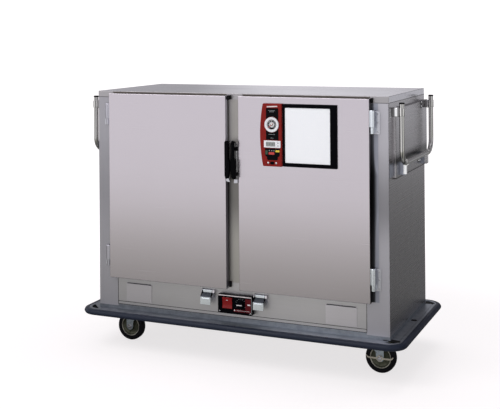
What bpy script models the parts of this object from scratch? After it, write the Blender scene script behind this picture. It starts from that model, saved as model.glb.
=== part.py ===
"""Insulated heated food carrier: two-door banquet cabinet on a bumper base with four casters.

Frame: origin on the floor under the centre of the footprint, +X to the right as seen from the
doors, +Y to the back, +Z up.  Dimensions are millimetres; MM turns them into metres.
A pair named ..._X, ..._Y or ..._Z is a (low, high) span along that axis.  Pieces that come in
left and right versions are given for +X, and a sign of -1 mirrors them.
"""
import math

import bmesh
import bpy
from mathutils import Matrix, Vector

MM = 0.001
GAP = 0.3                      # clearance between neighbouring pieces
OVER = 5.0                     # how far a cutter runs past the face it opens
SIDES = (("left", -1.0), ("right", 1.0))
ZERO = (0.0, 0.0, 0.0)

# ---- cabinet -------------------------------------------------------------
BODY_W, BODY_D = 1588.0, 702.0
HALF_W, HALF_D = BODY_W / 2, BODY_D / 2
FRONT = -HALF_D
BODY_BOTTOM = 229.5
LID_TOP, LID_H = 1361.0, 31.0
LID_BOTTOM = LID_TOP - LID_H
WALL_TOP = LID_BOTTOM - GAP
SHEET = 2.0                    # outer sheet thickness
COLUMN_W = 114.0               # front flange of each side panel
FRAME_HALF = HALF_W - COLUMN_W - GAP
FOLD_Y = FRONT + 12.0          # back edge of the front frame's folded returns
HEADER_Z = 1290.0
KICK_TOP = 412.7
RAISED_PROUD = 15.0            # raised panel on each side wall

# ---- compartments --------------------------------------------------------
LINER_HALF, LINER_BACK = 676.0, 300.0
LINER_Z0, LINER_Z1 = 417.0, 1286.0
LINER_T = 1.5
CHIMNEY_HALF, CHIMNEY_Y = 50.0, (-300.0, -80.0)

# ---- base and casters ----------------------------------------------------
DECK_Z = 215.0
RIM_OUT, RIM_IN = 57.0, 46.0   # channel's outer lips and web face, outward from the body
SWIVEL_X, CASTER_Y = 668.0, 177.0
CASTER_TOP = 190.0

# ---- control module ------------------------------------------------------
MODULE_X, MODULE_Z = (-84.0, 102.0), (266.0, 357.0)
MODULE_FRONT = -385.0
MODULE_PIN_Y, MODULE_PIN_Z = -358.0, 361.0
# side, x span of the latch, reach of the bearing web past its right-hand end
MODULE_LATCHES = (("left", (-181.0, -123.0), 11.6), ("right", (108.0, 165.0), 9.0))

# ---- looks: base colour, roughness, metallic -----------------------------
STAINLESS = ((0.62, 0.60, 0.62), 0.30, 1.0)
LID_STEEL = ((0.64, 0.63, 0.66), 0.32, 1.0)
LINER_STEEL = ((0.66, 0.66, 0.66), 0.28, 1.0)
GALVANISED = ((0.45, 0.47, 0.50), 0.45, 1.0)
CHROME = ((0.83, 0.84, 0.86), 0.08, 1.0)
CAST = ((0.80, 0.81, 0.84), 0.25, 1.0)
ZINC = ((0.62, 0.68, 0.76), 0.30, 1.0)
BLACK = ((0.012, 0.012, 0.015), 0.40, 0.0)
RUBBER = ((0.020, 0.024, 0.038), 0.60, 0.0)
GASKET = ((0.06, 0.06, 0.065), 0.70, 0.0)
FOAM = ((0.78, 0.70, 0.45), 0.90, 0.0)
RED = ((0.28, 0.015, 0.02), 0.35, 0.0)
RED_LENS = ((0.60, 0.02, 0.02), 0.15, 0.0)
WHITE = ((0.86, 0.86, 0.88), 0.45, 0.0)
SHARP_ANGLE = math.radians(32)   # edges sharper than this stay hard on smooth pieces


# ==========================================================================
# helpers
# ==========================================================================
def span(half, centre=0.0):
    return centre - half, centre + half


def inset(ends, by):
    return ends[0] + by, ends[1] - by


def mirror(sign, ends):
    return tuple(sign * x for x in ends)


def middle(ends):
    return sum(ends) / 2


def finish(obj, look, smooth=False):
    """Give the object its own material and, if asked, smooth shading."""
    rgb, roughness, metallic = look
    mat = bpy.data.materials.new(obj.name + "_mat")
    mat.use_nodes = True
    shader = mat.node_tree.nodes["Principled BSDF"]
    shader.inputs["Base Color"].default_value = (*rgb, 1.0)
    shader.inputs["Roughness"].default_value = roughness
    shader.inputs["Metallic"].default_value = metallic
    mat.diffuse_color = (*rgb, 1.0)
    obj.data.materials.clear()
    obj.data.materials.append(mat)
    if smooth:
        obj.data.shade_smooth()
        obj.data.set_sharp_from_angle(angle=SHARP_ANGLE)


def new_object(name, verts, faces, origin=ZERO):
    """Object from millimetre points; its origin is put at `origin` (millimetres)."""
    offset = Vector(origin) * MM
    mesh = bpy.data.meshes.new(name)
    mesh.from_pydata([Vector(v) * MM - offset for v in verts], [], faces)
    bm = bmesh.new()
    bm.from_mesh(mesh)
    bmesh.ops.recalc_face_normals(bm, faces=bm.faces)
    bm.to_mesh(mesh)
    bm.free()
    obj = bpy.data.objects.new(name, mesh)
    obj.location = offset
    bpy.context.scene.collection.objects.link(obj)
    return obj


def box(name, x_ends, y_ends, z_ends, origin=ZERO):
    verts = [(x, y, z) for x in sorted(x_ends) for y in sorted(y_ends) for z in sorted(z_ends)]
    faces = [(0, 1, 3, 2), (4, 6, 7, 5), (0, 4, 5, 1), (2, 3, 7, 6), (0, 2, 6, 4), (1, 5, 7, 3)]
    return new_object(name, verts, faces, origin)


def prism(name, outline, along, ends, origin=ZERO):
    """Closed outline extruded along x, y or z; it gives the other two coordinates in order."""
    slot = "xyz".index(along)
    verts = [(*p[:slot], end, *p[slot:]) for end in ends for p in outline]
    n = len(outline)
    faces = [tuple(range(n)), tuple(range(2 * n - 1, n - 1, -1))]
    faces += [(i, (i + 1) % n, n + (i + 1) % n, n + i) for i in range(n)]
    return new_object(name, verts, faces, origin)


def rod(name, along, centre, radius, ends, n=16, origin=ZERO):
    turns = [2 * math.pi * i / n for i in range(n)]
    circle = [(centre[0] + radius * math.cos(t), centre[1] + radius * math.sin(t)) for t in turns]
    return prism(name, circle, along, ends, origin)


def ring_faces(rings, size, closed=True):
    """Quads joining successive rings of `size` points."""
    faces = []
    for ring in range(rings if closed else rings - 1):
        here, there = ring * size, (ring + 1) % rings * size
        for k in range(size):
            after = (k + 1) % size
            faces.append((here + k, here + after, there + after, there + k))
    return faces


def turned(name, profile, centre, n, along, origin=ZERO):
    """Closed profile of (radius, height) spun about an axis along y or z."""
    cx, cy, cz = centre
    verts = []
    for i in range(n):
        turn = 2 * math.pi * i / n
        for radius, height in profile:
            p, q = radius * math.cos(turn), radius * math.sin(turn)
            if along == "y":
                verts.append((cx + p, cy + height, cz + q))
            else:
                verts.append((cx + p, cy + q, cz + height))
    return new_object(name, verts, ring_faces(n, len(profile)), origin)


def rounded_outline(half_x, half_y, radius, n):
    """Rounded rectangle, counter-clockwise: list of (point, outward normal)."""
    outline = []
    for x_sign, y_sign, start in ((1, -1, -90), (1, 1, 0), (-1, 1, 90), (-1, -1, 180)):
        cx, cy = x_sign * (half_x - radius), y_sign * (half_y - radius)
        for i in range(n + 1):
            turn = math.radians(start + 90.0 * i / n)
            c, s = math.cos(turn), math.sin(turn)
            outline.append(((cx + radius * c, cy + radius * s), (c, s)))
    return outline


def loop_sweep(name, path, section):
    """Closed section of (outward offset, z) carried round a closed path."""
    verts = [(px + nx * out, py + ny * out, z) for (px, py), (nx, ny) in path for out, z in section]
    return new_object(name, verts, ring_faces(len(path), len(section)))


def tube(name, path, radius, n, side):
    """Round bar along a planar path; `side` is the unit normal of the plane it lies in."""
    side = Vector(side)
    points = [Vector(p) for p in path]
    last = len(points) - 1
    verts = []
    for i, p in enumerate(points):
        before = (p - points[i - 1]).normalized() if i else (points[1] - p).normalized()
        after = (points[i + 1] - p).normalized() if i < last else before
        tangent = (before + after).normalized()
        across = side.cross(tangent).normalized()
        stretch = 1.0 / max(0.2, tangent.dot(before))   # keeps the bar's width at mitred bends
        for k in range(n):
            turn = 2 * math.pi * k / n
            verts.append(p + side * (radius * math.cos(turn))
                         + across * (radius * stretch * math.sin(turn)))
    faces = ring_faces(len(points), n, closed=False)
    faces.append(tuple(range(n)))
    faces.append(tuple(range(len(points) * n - 1, last * n - 1, -1)))
    return new_object(name, verts, faces)


def combine(obj, others, operation):
    """EXACT Boolean of obj with each of the others, baked in; the others are used up."""
    for other in others:
        mod = obj.modifiers.new("bool", "BOOLEAN")
        mod.operation = operation
        mod.solver = "EXACT"
        mod.object = other
        bpy.context.view_layer.update()
        graph = bpy.context.evaluated_depsgraph_get()
        mesh = bpy.data.meshes.new_from_object(obj.evaluated_get(graph))
        obj.modifiers.clear()
        obj.data = mesh
        bpy.data.objects.remove(other, do_unlink=True)


def join(obj, *others):
    combine(obj, others, "UNION")


def cut(obj, *others):
    combine(obj, others, "DIFFERENCE")


def bevel(obj, width):
    """Live one-segment bevel on edges sharper than 40 degrees."""
    mod = obj.modifiers.new("edge", "BEVEL")
    mod.width = width * MM
    mod.segments = 1
    mod.limit_method = "ANGLE"
    mod.angle_limit = math.radians(40)
    mod.use_clamp_overlap = True


# ==========================================================================
# outer shell
# ==========================================================================
LID_RIM = 2.5
RAISED_Y, RAISED_Z = (-280.0, HALF_D - 3.0), (966.0, 1301.0)
MULLION_HALF, MULLION_LAP = 62.0, 10.0     # the lap runs up into the header
STRIKE_X, STRIKE_Z, STRIKE_PROUD = (4.0, 11.0), (1012.0, 1042.0), 18.0
SEAM_Z, SEAM_HALF, SEAM_DEPTH = 255.0, 0.9, 0.7
COVERS = (("left", (-628.0, -479.0)), ("right", (475.0, 632.0)))   # side, x span
COVER_Z, COVER_T, COVER_LIP_T, COVER_LIP_PROUD = (260.0, 353.0), 2.3, 2.5, 6.0


def top_lid():
    lid = box("top_lid", span(HALF_W), span(HALF_D), (LID_BOTTOM, LID_TOP))
    cut(lid, box("hollow", span(HALF_W - LID_RIM), span(HALF_D - LID_RIM),
                 (LID_BOTTOM - OVER, LID_TOP - SHEET)))
    finish(lid, LID_STEEL)


def side_panel(side, sign):
    """Side wall with a front flange and its folded return, and a raised outer panel."""
    wall_x, inner_x = sign * HALF_W, sign * (HALF_W - SHEET)
    flange_x, fold_x = sign * (HALF_W - COLUMN_W), sign * (HALF_W - COLUMN_W + SHEET)
    outline = [
        (wall_x, FRONT), (flange_x, FRONT), (flange_x, FOLD_Y), (fold_x, FOLD_Y),
        (fold_x, FRONT + SHEET), (inner_x, FRONT + SHEET), (inner_x, HALF_D), (wall_x, HALF_D),
    ]
    wall = prism(f"side_panel_{side}", outline, "z", (BODY_BOTTOM, WALL_TOP))
    raised_x = mirror(sign, (HALF_W - 1.0, HALF_W + RAISED_PROUD))
    join(wall, box("raised", raised_x, RAISED_Y, RAISED_Z))
    finish(wall, STAINLESS)


def back_panel():
    panel = box("back_panel", span(HALF_W - SHEET - GAP), (HALF_D - SHEET, HALF_D),
                (BODY_BOTTOM, WALL_TOP))
    finish(panel, STAINLESS)


def front_frame():
    """Header and mullion, both folded channels open to the back, with two latch strikes."""
    depth = (FRONT, FOLD_Y)
    hollow_y = (FRONT + SHEET, FOLD_Y + OVER)
    mullion_z0 = KICK_TOP + GAP
    frame = box("front_frame", span(FRAME_HALF), depth, (HEADER_Z, WALL_TOP))
    join(frame, box("mullion", span(MULLION_HALF), depth, (mullion_z0, HEADER_Z + MULLION_LAP)))
    cut(frame,
        box("header_hollow", span(FRAME_HALF - SHEET), hollow_y,
            (HEADER_Z + SHEET, WALL_TOP - SHEET)),
        box("mullion_hollow", span(MULLION_HALF - SHEET), hollow_y,
            (mullion_z0 + SHEET, HEADER_Z + SHEET + 1.0)))
    for _, sign in SIDES:
        join(frame, box("strike", mirror(sign, STRIKE_X), (FRONT - STRIKE_PROUD, FRONT + 1.0),
                        STRIKE_Z))
    finish(frame, STAINLESS)


def kick_panel():
    """Panel below the doors: module port, a shallow seam, and webs and pins for its latches."""
    kick = box("kick_panel", span(FRAME_HALF), (FRONT, FRONT + SHEET), (BODY_BOTTOM, KICK_TOP))
    join(kick, box("fold", span(FRAME_HALF), (FRONT, FOLD_Y), (KICK_TOP - SHEET, KICK_TOP)))
    cut(kick,
        box("seam", span(FRAME_HALF + OVER), (FRONT - OVER, FRONT + SEAM_DEPTH),
            span(SEAM_HALF, SEAM_Z)),
        box("port", inset(MODULE_X, 4.0), (FRONT - OVER, FRONT + SHEET + OVER),
            inset(MODULE_Z, 2.5)))
    y, z = MODULE_PIN_Y, MODULE_PIN_Z
    web = [(FRONT + 1, z + 8), (y - 7, z + 8), (y - 13, z - 6), (FRONT + 1, z - 34)]
    for _, (x0, x1), reach in MODULE_LATCHES:
        join(kick,
             prism("web", web, "x", (x0 - 3.6, x0 - 0.6)),
             prism("web", web, "x", (x1 + 0.6, x1 + reach)),
             rod("pin", "x", (y, z), 2.4, (x0 - 2.0, x1 + 2.0), 8))
    finish(kick, STAINLESS)


def blank_covers():
    for side, x_ends in COVERS:
        cover = box(f"blank_cover_{side}", x_ends, (FRONT - COVER_T, FRONT - GAP), COVER_Z)
        join(cover, box("lip", x_ends, (FRONT - COVER_LIP_PROUD, FRONT - GAP),
                        (COVER_Z[1] - COVER_LIP_T, COVER_Z[1])))
        finish(cover, STAINLESS)


# ==========================================================================
# insulation, liner, heat duct, racks
# ==========================================================================
FOAM_HALF, FOAM_Z0, FOAM_GAP = 742.0, 367.0, 0.4
CAVITY_GAP = 0.5               # between the foam and the liner
DUCT_HALF = 60.0
DUCT_Y = (FOLD_Y + 1.5, LINER_BACK - LINER_T - 0.4)
SLOT_COUNT, SLOT_Z0, SLOT_PITCH, SLOT_H, SLOT_Y = 6, 520.0, 125.0, 16.0, (-230.0, 190.0)
BAR = 8.0                      # width of a rack post
RACK_X, RACK_Y, RACK_TOP = (64.0, 671.0), (-322.0, 284.0), 1262.0
SHELF_Z = (446.0, 726.0, 1006.0)
WIRE_COUNT, WIRE_PITCH = 5, 101.0


def insulation():
    foam = box("insulation", span(FOAM_HALF), (FOLD_Y + FOAM_GAP, HALF_D - SHEET - FOAM_GAP),
               (FOAM_Z0, WALL_TOP - FOAM_GAP))
    cut(foam,
        box("cavity", span(LINER_HALF + CAVITY_GAP), (FRONT - OVER, LINER_BACK + CAVITY_GAP),
            inset((LINER_Z0, LINER_Z1), -CAVITY_GAP)),
        box("chimney", span(CHIMNEY_HALF), CHIMNEY_Y, (FOAM_Z0 - OVER, LINER_Z0 + OVER)),
        box("front_step", span(FRAME_HALF), (FRONT - OVER, FOLD_Y + 1.5),
            (KICK_TOP - 6, HEADER_Z + 4)))
    finish(foam, FOAM)


def inner_liner():
    """Liner open to the front, with the chimney opening in its floor."""
    liner = box("inner_liner", span(LINER_HALF), (FOLD_Y + 1.0, LINER_BACK),
                (LINER_Z0, LINER_Z1))
    cut(liner,
        box("hollow", span(LINER_HALF - LINER_T), (FRONT - OVER, LINER_BACK - LINER_T),
            inset((LINER_Z0, LINER_Z1), LINER_T)),
        box("opening", span(CHIMNEY_HALF - 2), inset(CHIMNEY_Y, 2), span(OVER, LINER_Z0)))
    finish(liner, LINER_STEEL)


def heat_duct():
    """Centre duct, open at the bottom and slotted through both side walls."""
    top = LINER_Z1 - LINER_T - GAP
    duct = box("heat_duct", span(DUCT_HALF), DUCT_Y, (LINER_Z0 + LINER_T + GAP, top))
    cut(duct, box("hollow", span(DUCT_HALF - LINER_T), inset(DUCT_Y, LINER_T),
                  (LINER_Z0 - OVER, top - LINER_T)))
    for i in range(SLOT_COUNT):
        z = SLOT_Z0 + i * SLOT_PITCH
        cut(duct, box("slot", span(DUCT_HALF + OVER), SLOT_Y, (z, z + SLOT_H)))
    finish(duct, LINER_STEEL)


def rack(side, sign):
    """Four posts tied by bars at each shelf and at the top; the shelves also carry wires."""
    floor = LINER_Z0 + LINER_T
    post_x = (RACK_X[0], RACK_X[1] - BAR)
    post_y = (RACK_Y[0], RACK_Y[1] - BAR)
    top_bar_z = RACK_TOP - BAR
    pieces = []
    for x in post_x:
        for y in post_y:
            pieces.append(box("post", mirror(sign, (x, x + BAR)), (y, y + BAR),
                              (floor + 0.5, RACK_TOP)))
    for z in SHELF_Z + (top_bar_z,):
        for x in post_x:
            pieces.append(box("side_bar", mirror(sign, (x + 1, x + BAR - 1)), inset(RACK_Y, 2),
                              (z, z + 6.0)))
        for y in post_y:
            pieces.append(box("cross_bar", mirror(sign, inset(RACK_X, 2)), (y + 1, y + BAR - 1),
                              (z + 0.5, z + 5.5)))
        if z != top_bar_z:
            for i in range(WIRE_COUNT):
                x = RACK_X[0] + WIRE_PITCH * (i + 1)
                pieces.append(box("wire", mirror(sign, span(2, x)), inset(RACK_Y, 3),
                                  (z + 1.0, z + 4.8)))
    # the starting block lies within the inner front post
    frame = box(f"rack_{side}", mirror(sign, (RACK_X[0], RACK_X[0] + BAR)),
                inset((RACK_Y[0], RACK_Y[0] + BAR), 0.5), (floor + 0.7, RACK_TOP - 0.5))
    join(frame, *pieces)
    finish(frame, LINER_STEEL)


# ==========================================================================
# base: deck with pedestal, channel frame holding the bumper, caster races
# ==========================================================================
OVERHANG = 83.0                # bumper's reach outward from the body
BUMPER_Z0, BUMPER_Z1 = 185.0, 214.5
BUMPER_R = 88.0                # plan radius of the bumper's corners
RIM_PATH = rounded_outline(HALF_W + RIM_OUT, HALF_D + RIM_OUT,
                           BUMPER_R - (OVERHANG - RIM_OUT), 5)
DECK_EDGE, DECK_CHAMFER = RIM_IN - 4.6, 62.0
DRAIN_X, DRAIN_Y, DRAIN_SHIFT = 816.0, 12.0, 9.0
DRAIN_RX, DRAIN_RY, DRAIN_POINTS = 5.0, 6.0, 12
FLANGE_Z = DECK_Z - 3.4        # underside of the channel's inner lip
RAIL_HALF, CROSS_HALF, RACE_R = 52.0, 45.0, 34.0


def base_deck():
    """Chamfered deck plate with a raised, hollow pedestal under the body."""
    x, y = HALF_W + DECK_EDGE, HALF_D + DECK_EDGE
    cx, cy = x - DECK_CHAMFER, y - DECK_CHAMFER
    outline = [(-cx, -y), (cx, -y), (x, -cy), (x, cy), (cx, y), (-cx, y), (-x, cy), (-x, -cy)]
    deck = prism("base_deck", outline, "z", (DECK_Z - 3.0, DECK_Z))
    top = BODY_BOTTOM - GAP
    join(deck, box("pedestal", span(HALF_W - 0.4), span(HALF_D - 0.4), (DECK_Z - 2.0, top)))
    cut(deck, box("hollow", span(HALF_W - 2.4), span(HALF_D - 2.4),
                  (DECK_Z - 3.0 - OVER, top - 2.0)))
    drain = []
    for i in range(DRAIN_POINTS):
        turn = 2 * math.pi * (i + 0.5) / DRAIN_POINTS
        c, s = math.cos(turn), math.sin(turn)
        drain.append((DRAIN_X + math.copysign(DRAIN_SHIFT, c) + DRAIN_RX * c,
                      DRAIN_Y + DRAIN_RY * s))
    cut(deck, prism("drain", drain, "z", span(10.0, DECK_Z)))
    finish(deck, GALVANISED)


def base_frame():
    """Outward-facing channel round the base, crossed by beams that carry the caster races."""
    web = RIM_IN - RIM_OUT
    section = [
        (0.0, DECK_Z - 2.0), (web, DECK_Z - 2.0), (web, BUMPER_Z0 + 5.0), (0.0, BUMPER_Z0 + 5.0),
        (0.0, BUMPER_Z0 + 3.0), (web - 2, BUMPER_Z0 + 3.0), (web - 2, FLANGE_Z),
        (web - 4, FLANGE_Z), (web - 4, DECK_Z), (0.0, DECK_Z),
    ]
    channel = loop_sweep("base_frame", RIM_PATH, section)
    reach = RIM_IN - 1.0
    beams = [box("rail", span(HALF_W + reach), span(RAIL_HALF, y), (CASTER_TOP, FLANGE_Z))
             for y in (-CASTER_Y, CASTER_Y)]
    beams += [box("cross", span(CROSS_HALF, x), span(HALF_D + reach),
                  (CASTER_TOP + 0.5, FLANGE_Z - 0.5)) for x in (-SWIVEL_X, 0.0, SWIVEL_X)]
    beams += [rod("race", "z", (x, y), RACE_R, (CASTER_TOP - 7.0, CASTER_TOP + 4.0))
              for x in (-SWIVEL_X, SWIVEL_X) for y in (-CASTER_Y, CASTER_Y)]
    join(channel, *beams)
    finish(channel, GALVANISED)


def bumper():
    """Rubber strip keyed into the channel, with a bowed outer face."""
    key, neck, shoulder = -9.0, 0.4, 6.0       # offsets outward from the rim path
    mid, half = (BUMPER_Z0 + BUMPER_Z1) / 2, (BUMPER_Z1 - BUMPER_Z0) / 2
    bulge = OVERHANG - RIM_OUT - shoulder
    section = [(key, BUMPER_Z0 + 5.5), (neck, BUMPER_Z0 + 5.5), (neck, BUMPER_Z0 + 1.2)]
    for degrees in range(-90, 91, 45):
        t = math.radians(degrees)
        section.append((shoulder + bulge * math.cos(t), mid + half * math.sin(t)))
    section += [(neck, BUMPER_Z1 - 0.8), (neck, DECK_Z - 2.5), (key, DECK_Z - 2.5)]
    finish(loop_sweep("bumper", RIM_PATH, section), RUBBER, smooth=True)


# ==========================================================================
# push handles
# ==========================================================================
HANDLE_OFF, HANDLE_LEG_Y = 49.0, 296.0
HANDLE_TOP, HANDLE_LOW = 1330.0, 1038.0
HANDLE_BEND, HANDLE_TUBE_R = 65.0, 10.5
SPACER_HALF, SPACER_Z = 9.0, (1263.0, 1306.0)
BRACKET_Y, BRACKET_Z = (211.0, 223.0), (976.0, 1044.0)


def push_handle(side, sign):
    """U-shaped bar standing off the side wall, legs upward."""
    bar = HALF_W + HANDLE_OFF
    x = sign * bar
    bend_z = HANDLE_LOW + HANDLE_BEND
    raised = HALF_W + RAISED_PROUD + 0.4
    path = [(x, -HANDLE_LEG_Y, HANDLE_TOP)]
    parts = []
    for end in (-1.0, 1.0):
        bend_y = end * (HANDLE_LEG_Y - HANDLE_BEND)
        arc = []
        for degrees in range(0, 91, 18):
            t = math.radians(degrees)
            arc.append((x, bend_y + end * HANDLE_BEND * math.cos(t),
                        bend_z - HANDLE_BEND * math.sin(t)))
        path += arc if end < 0 else arc[::-1]
        # the front spacer stands on the wall, the rear one on the raised panel
        wall = HALF_W + 0.4 if end < 0 else raised
        parts.append(box("spacer", mirror(sign, (wall, bar + 4)),
                         span(SPACER_HALF, end * HANDLE_LEG_Y), SPACER_Z))
        parts.append(box("bracket", mirror(sign, (raised, bar + 3)), mirror(end, BRACKET_Y),
                         BRACKET_Z))
    path.append((x, HANDLE_LEG_Y, HANDLE_TOP))
    handle = tube(f"push_handle_{side}", path, HANDLE_TUBE_R, 12, (1.0, 0.0, 0.0))
    join(handle, *parts)
    finish(handle, CHROME, smooth=True)


# ==========================================================================
# doors, hinges and latches
# ==========================================================================
DOOR_X, DOOR_Z = (34.5, 709.0), (385.0, 1350.0)
DOOR_FRONT, DOOR_BACK = -387.0, -362.0
DOOR_SHEET, CORE_INSET = 1.5, 1.8
SEAL_X, SEAL_Z = (39.0, 704.0), (401.0, 1328.0)
HINGE_X, HINGE_Y = 721.0, -376.0
KNUCKLE_R = 12.0
# level, bottom, split between the knuckles, top
HINGES = (("upper", 1185.0, 1217.0, 1298.0), ("lower", 445.0, 474.0, 553.0))
PIN_X, PIN_Y = 29.0, -392.0    # latch pin
HOUSING_Y, HOUSING_Z = (-384.5, -357.5), (936.0, 1118.0)
LUGS_Z = ((938.0, 946.0), (1108.0, 1116.0))
LEVER_X = {"left": (3.0, 32.0), "right": (8.0, 38.0)}
LEVER_Y, LEVER_Z = (-418.0, -398.5), (921.0, 1129.0)
ARMS_Z = ((956.0, 974.0), (1080.0, 1098.0))


def hinge_axis(sign):
    return sign * HINGE_X, HINGE_Y, 0.0


def door_panel(side, sign):
    """Folded skin, foam core with its bonded inner skin, and the gasket behind."""
    axis = hinge_axis(sign)
    skin = box(f"door_skin_{side}", mirror(sign, DOOR_X), (DOOR_FRONT, DOOR_BACK), DOOR_Z, axis)
    cut(skin, box("hollow", mirror(sign, inset(DOOR_X, DOOR_SHEET)),
                  (DOOR_FRONT + DOOR_SHEET, DOOR_BACK + OVER), inset(DOOR_Z, DOOR_SHEET)))
    finish(skin, STAINLESS)
    core = box(f"door_core_{side}", mirror(sign, inset(DOOR_X, CORE_INSET)),
               (DOOR_FRONT + CORE_INSET, DOOR_BACK), inset(DOOR_Z, CORE_INSET), axis)
    finish(core, LINER_STEEL)
    seal = box(f"door_gasket_{side}", mirror(sign, SEAL_X), (DOOR_BACK + GAP, FRONT - 0.6),
               SEAL_Z, axis)
    cut(seal, box("window", mirror(sign, inset(SEAL_X, 14.0)), (DOOR_BACK - OVER, FRONT + OVER),
                  inset(SEAL_Z, 12.0)))
    finish(seal, GASKET)


def hinge_frame_leaf(side, sign, level, bottom, split, top):
    """Cabinet leaf: small lower knuckle, arm, mounting plate and pin."""
    centre = (sign * HINGE_X, HINGE_Y)
    leaf = rod(f"hinge_frame_leaf_{side}_{level}", "z", centre, KNUCKLE_R - 2.0,
               (bottom, split - GAP))
    join(leaf,
         box("arm", mirror(sign, (HINGE_X - 7, HINGE_X + 8)), (HINGE_Y + 4, FRONT - 2.0),
             (bottom + 1, split - 1.3)),
         box("plate", mirror(sign, (HINGE_X - 7.5, HINGE_X + 36)), (FRONT - 3.0, FRONT - GAP),
             (bottom - 4, top - 6)),
         rod("pin", "z", centre, 3.6, (split - 2, top - 6), 12))
    finish(leaf, CAST, smooth=True)


def hinge_door_leaf(side, sign, level, split, top):
    """Door leaf: large upper knuckle bored for the pin, and a plate on the door's edge."""
    centre = (sign * HINGE_X, HINGE_Y)
    leaf = rod(f"hinge_door_leaf_{side}_{level}", "z", centre, KNUCKLE_R - 0.6, (split, top),
               origin=hinge_axis(sign))
    join(leaf, box("plate", mirror(sign, (DOOR_X[1] + GAP, HINGE_X - 3)),
                   (DOOR_FRONT + 1.5, HINGE_Y + 12), (split + 1, top - 1)))
    cut(leaf, rod("bore", "z", centre, 4.4, (split - OVER, top - 4)))
    finish(leaf, CAST, smooth=True)


def latch_housing(side, sign):
    """Cast housing on the door's free edge, with lugs and a pin for the lever."""
    centre = (sign * PIN_X, PIN_Y)
    housing = box(f"latch_housing_{side}", mirror(sign, (13.0, DOOR_X[0] - GAP)), HOUSING_Y,
                  HOUSING_Z, hinge_axis(sign))
    for lug_z in LUGS_Z:
        join(housing,
             box("lug", mirror(sign, span(5, PIN_X)), (PIN_Y + 1.0, -383.0), lug_z),
             rod("eye", "z", centre, 5.6, inset(lug_z, 0.2)))
    join(housing, rod("pin", "z", centre, 2.4, (944.0, 1110.0), 10))
    finish(housing, CHROME)


def latch_lever(side, sign):
    """Upright pull lever with chamfered front edges, two bored arms and a tongue."""
    x0, x1 = LEVER_X[side]
    front, back = LEVER_Y
    outline = [(x0, back), (x0, front + 5), (x0 + 5, front), (x1 - 5, front), (x1, front + 5),
               (x1, back)]
    lever = prism(f"latch_lever_{side}", [(sign * x, y) for x, y in outline], "z", LEVER_Z,
                  (sign * PIN_X, PIN_Y, 0.0))
    for arm_z in ARMS_Z:
        join(lever, box("arm", mirror(sign, (PIN_X - 6, PIN_X + 5)), (-400.0, -386.5), arm_z))
    join(lever, box("tongue", mirror(sign, (17.0, 25.0)), (-400.0, -386.8), (1016.0, 1038.0)))
    cut(lever, rod("bore", "z", (sign * PIN_X, PIN_Y), 3.1, (900.0, 1120.0), 12))
    finish(lever, BLACK)


def door(side, sign):
    door_panel(side, sign)
    for level, bottom, split, top in HINGES:
        hinge_frame_leaf(side, sign, level, bottom, split, top)
        hinge_door_leaf(side, sign, level, split, top)
    latch_housing(side, sign)
    latch_lever(side, sign)


# ==========================================================================
# instruments on the right door
# ==========================================================================
MOUNT_Y = DOOR_FRONT - GAP     # back face of the instruments
RIGHT_AXIS = hinge_axis(1.0)
BEZEL_X, BEZEL_Z = (174.0, 273.0), (1012.0, 1319.0)
BEZEL_BOW, BEZEL_STEPS, BEZEL_PROUD = 15.0, 10, 16.0
DIAL_X, DIAL_Z, DIAL_R = 222.0, 1216.0, 37.0
WELL_Y = MOUNT_Y - 4.0         # floor of the dial's well
DIAL_BACK = WELL_Y - GAP
DISPLAY_X, DISPLAY_Z = (180.0, 268.0), (1103.0, 1139.0)
DISPLAY_FLOOR = MOUNT_Y - 8.0
CARD_X, CARD_Z = (276.0, 552.0), (1013.0, 1318.0)
CARD_WINDOW_X, CARD_WINDOW_Z = (CARD_X[0] + 10, CARD_X[1] - 34), inset(CARD_Z, 18)


def instrument_bezel():
    """Plate with a bowed left edge, a round well and a rectangular one."""
    outline = []
    for i in range(BEZEL_STEPS + 1):
        t = i / BEZEL_STEPS
        outline.append((BEZEL_X[0] - BEZEL_BOW * math.sin(math.pi * t),
                        BEZEL_Z[1] + (BEZEL_Z[0] - BEZEL_Z[1]) * t))
    outline += [(BEZEL_X[1], BEZEL_Z[0]), (BEZEL_X[1], BEZEL_Z[1])]
    face = MOUNT_Y - BEZEL_PROUD
    bezel = prism("instrument_bezel", outline, "y", (face, MOUNT_Y), RIGHT_AXIS)
    cut(bezel,
        rod("dial_well", "y", (DIAL_X, DIAL_Z), DIAL_R + 1.0, (face - OVER, WELL_Y), 24),
        box("display_well", DISPLAY_X, (face - OVER, DISPLAY_FLOOR), DISPLAY_Z))
    finish(bezel, RED)


def dial_thermometer():
    profile = [(3.0, -12.0), (DIAL_R - 4, -12.0), (DIAL_R - 3, -16.5), (DIAL_R, -15.0),
               (DIAL_R, 0.0), (3.0, 0.0)]
    dial = turned("dial_thermometer", profile, (DIAL_X, DIAL_BACK, DIAL_Z), 24, "y", RIGHT_AXIS)
    finish(dial, WHITE, smooth=True)


def dial_needle():
    """Needle built upright about x = z = 0, then turned and moved to the dial's centre."""
    y = DIAL_BACK
    needle = prism("dial_needle", [(-4.0, -8.0), (4.0, -8.0), (1.2, 26.0), (-1.2, 26.0)], "y",
                   (y - 14.4, y - 13.0))
    join(needle,
         rod("hub", "y", (0.0, 0.0), 5.0, (y - 15.2, y - 12.6), 12),
         rod("spindle", "y", (0.0, 0.0), 2.2, (y - 14.0, y - 1.0), 8))
    needle.data.transform(Matrix.Rotation(math.radians(-130), 4, "Y"))
    needle.location = Vector((DIAL_X, 0.0, DIAL_Z)) * MM
    finish(needle, BLACK)


def digital_display():
    display = box("digital_display", inset(DISPLAY_X, 0.4),
                  (MOUNT_Y - BEZEL_PROUD - 3.0, DISPLAY_FLOOR - GAP), inset(DISPLAY_Z, 0.4),
                  RIGHT_AXIS)
    bevel(display, 2.0)
    finish(display, WHITE)


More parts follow.
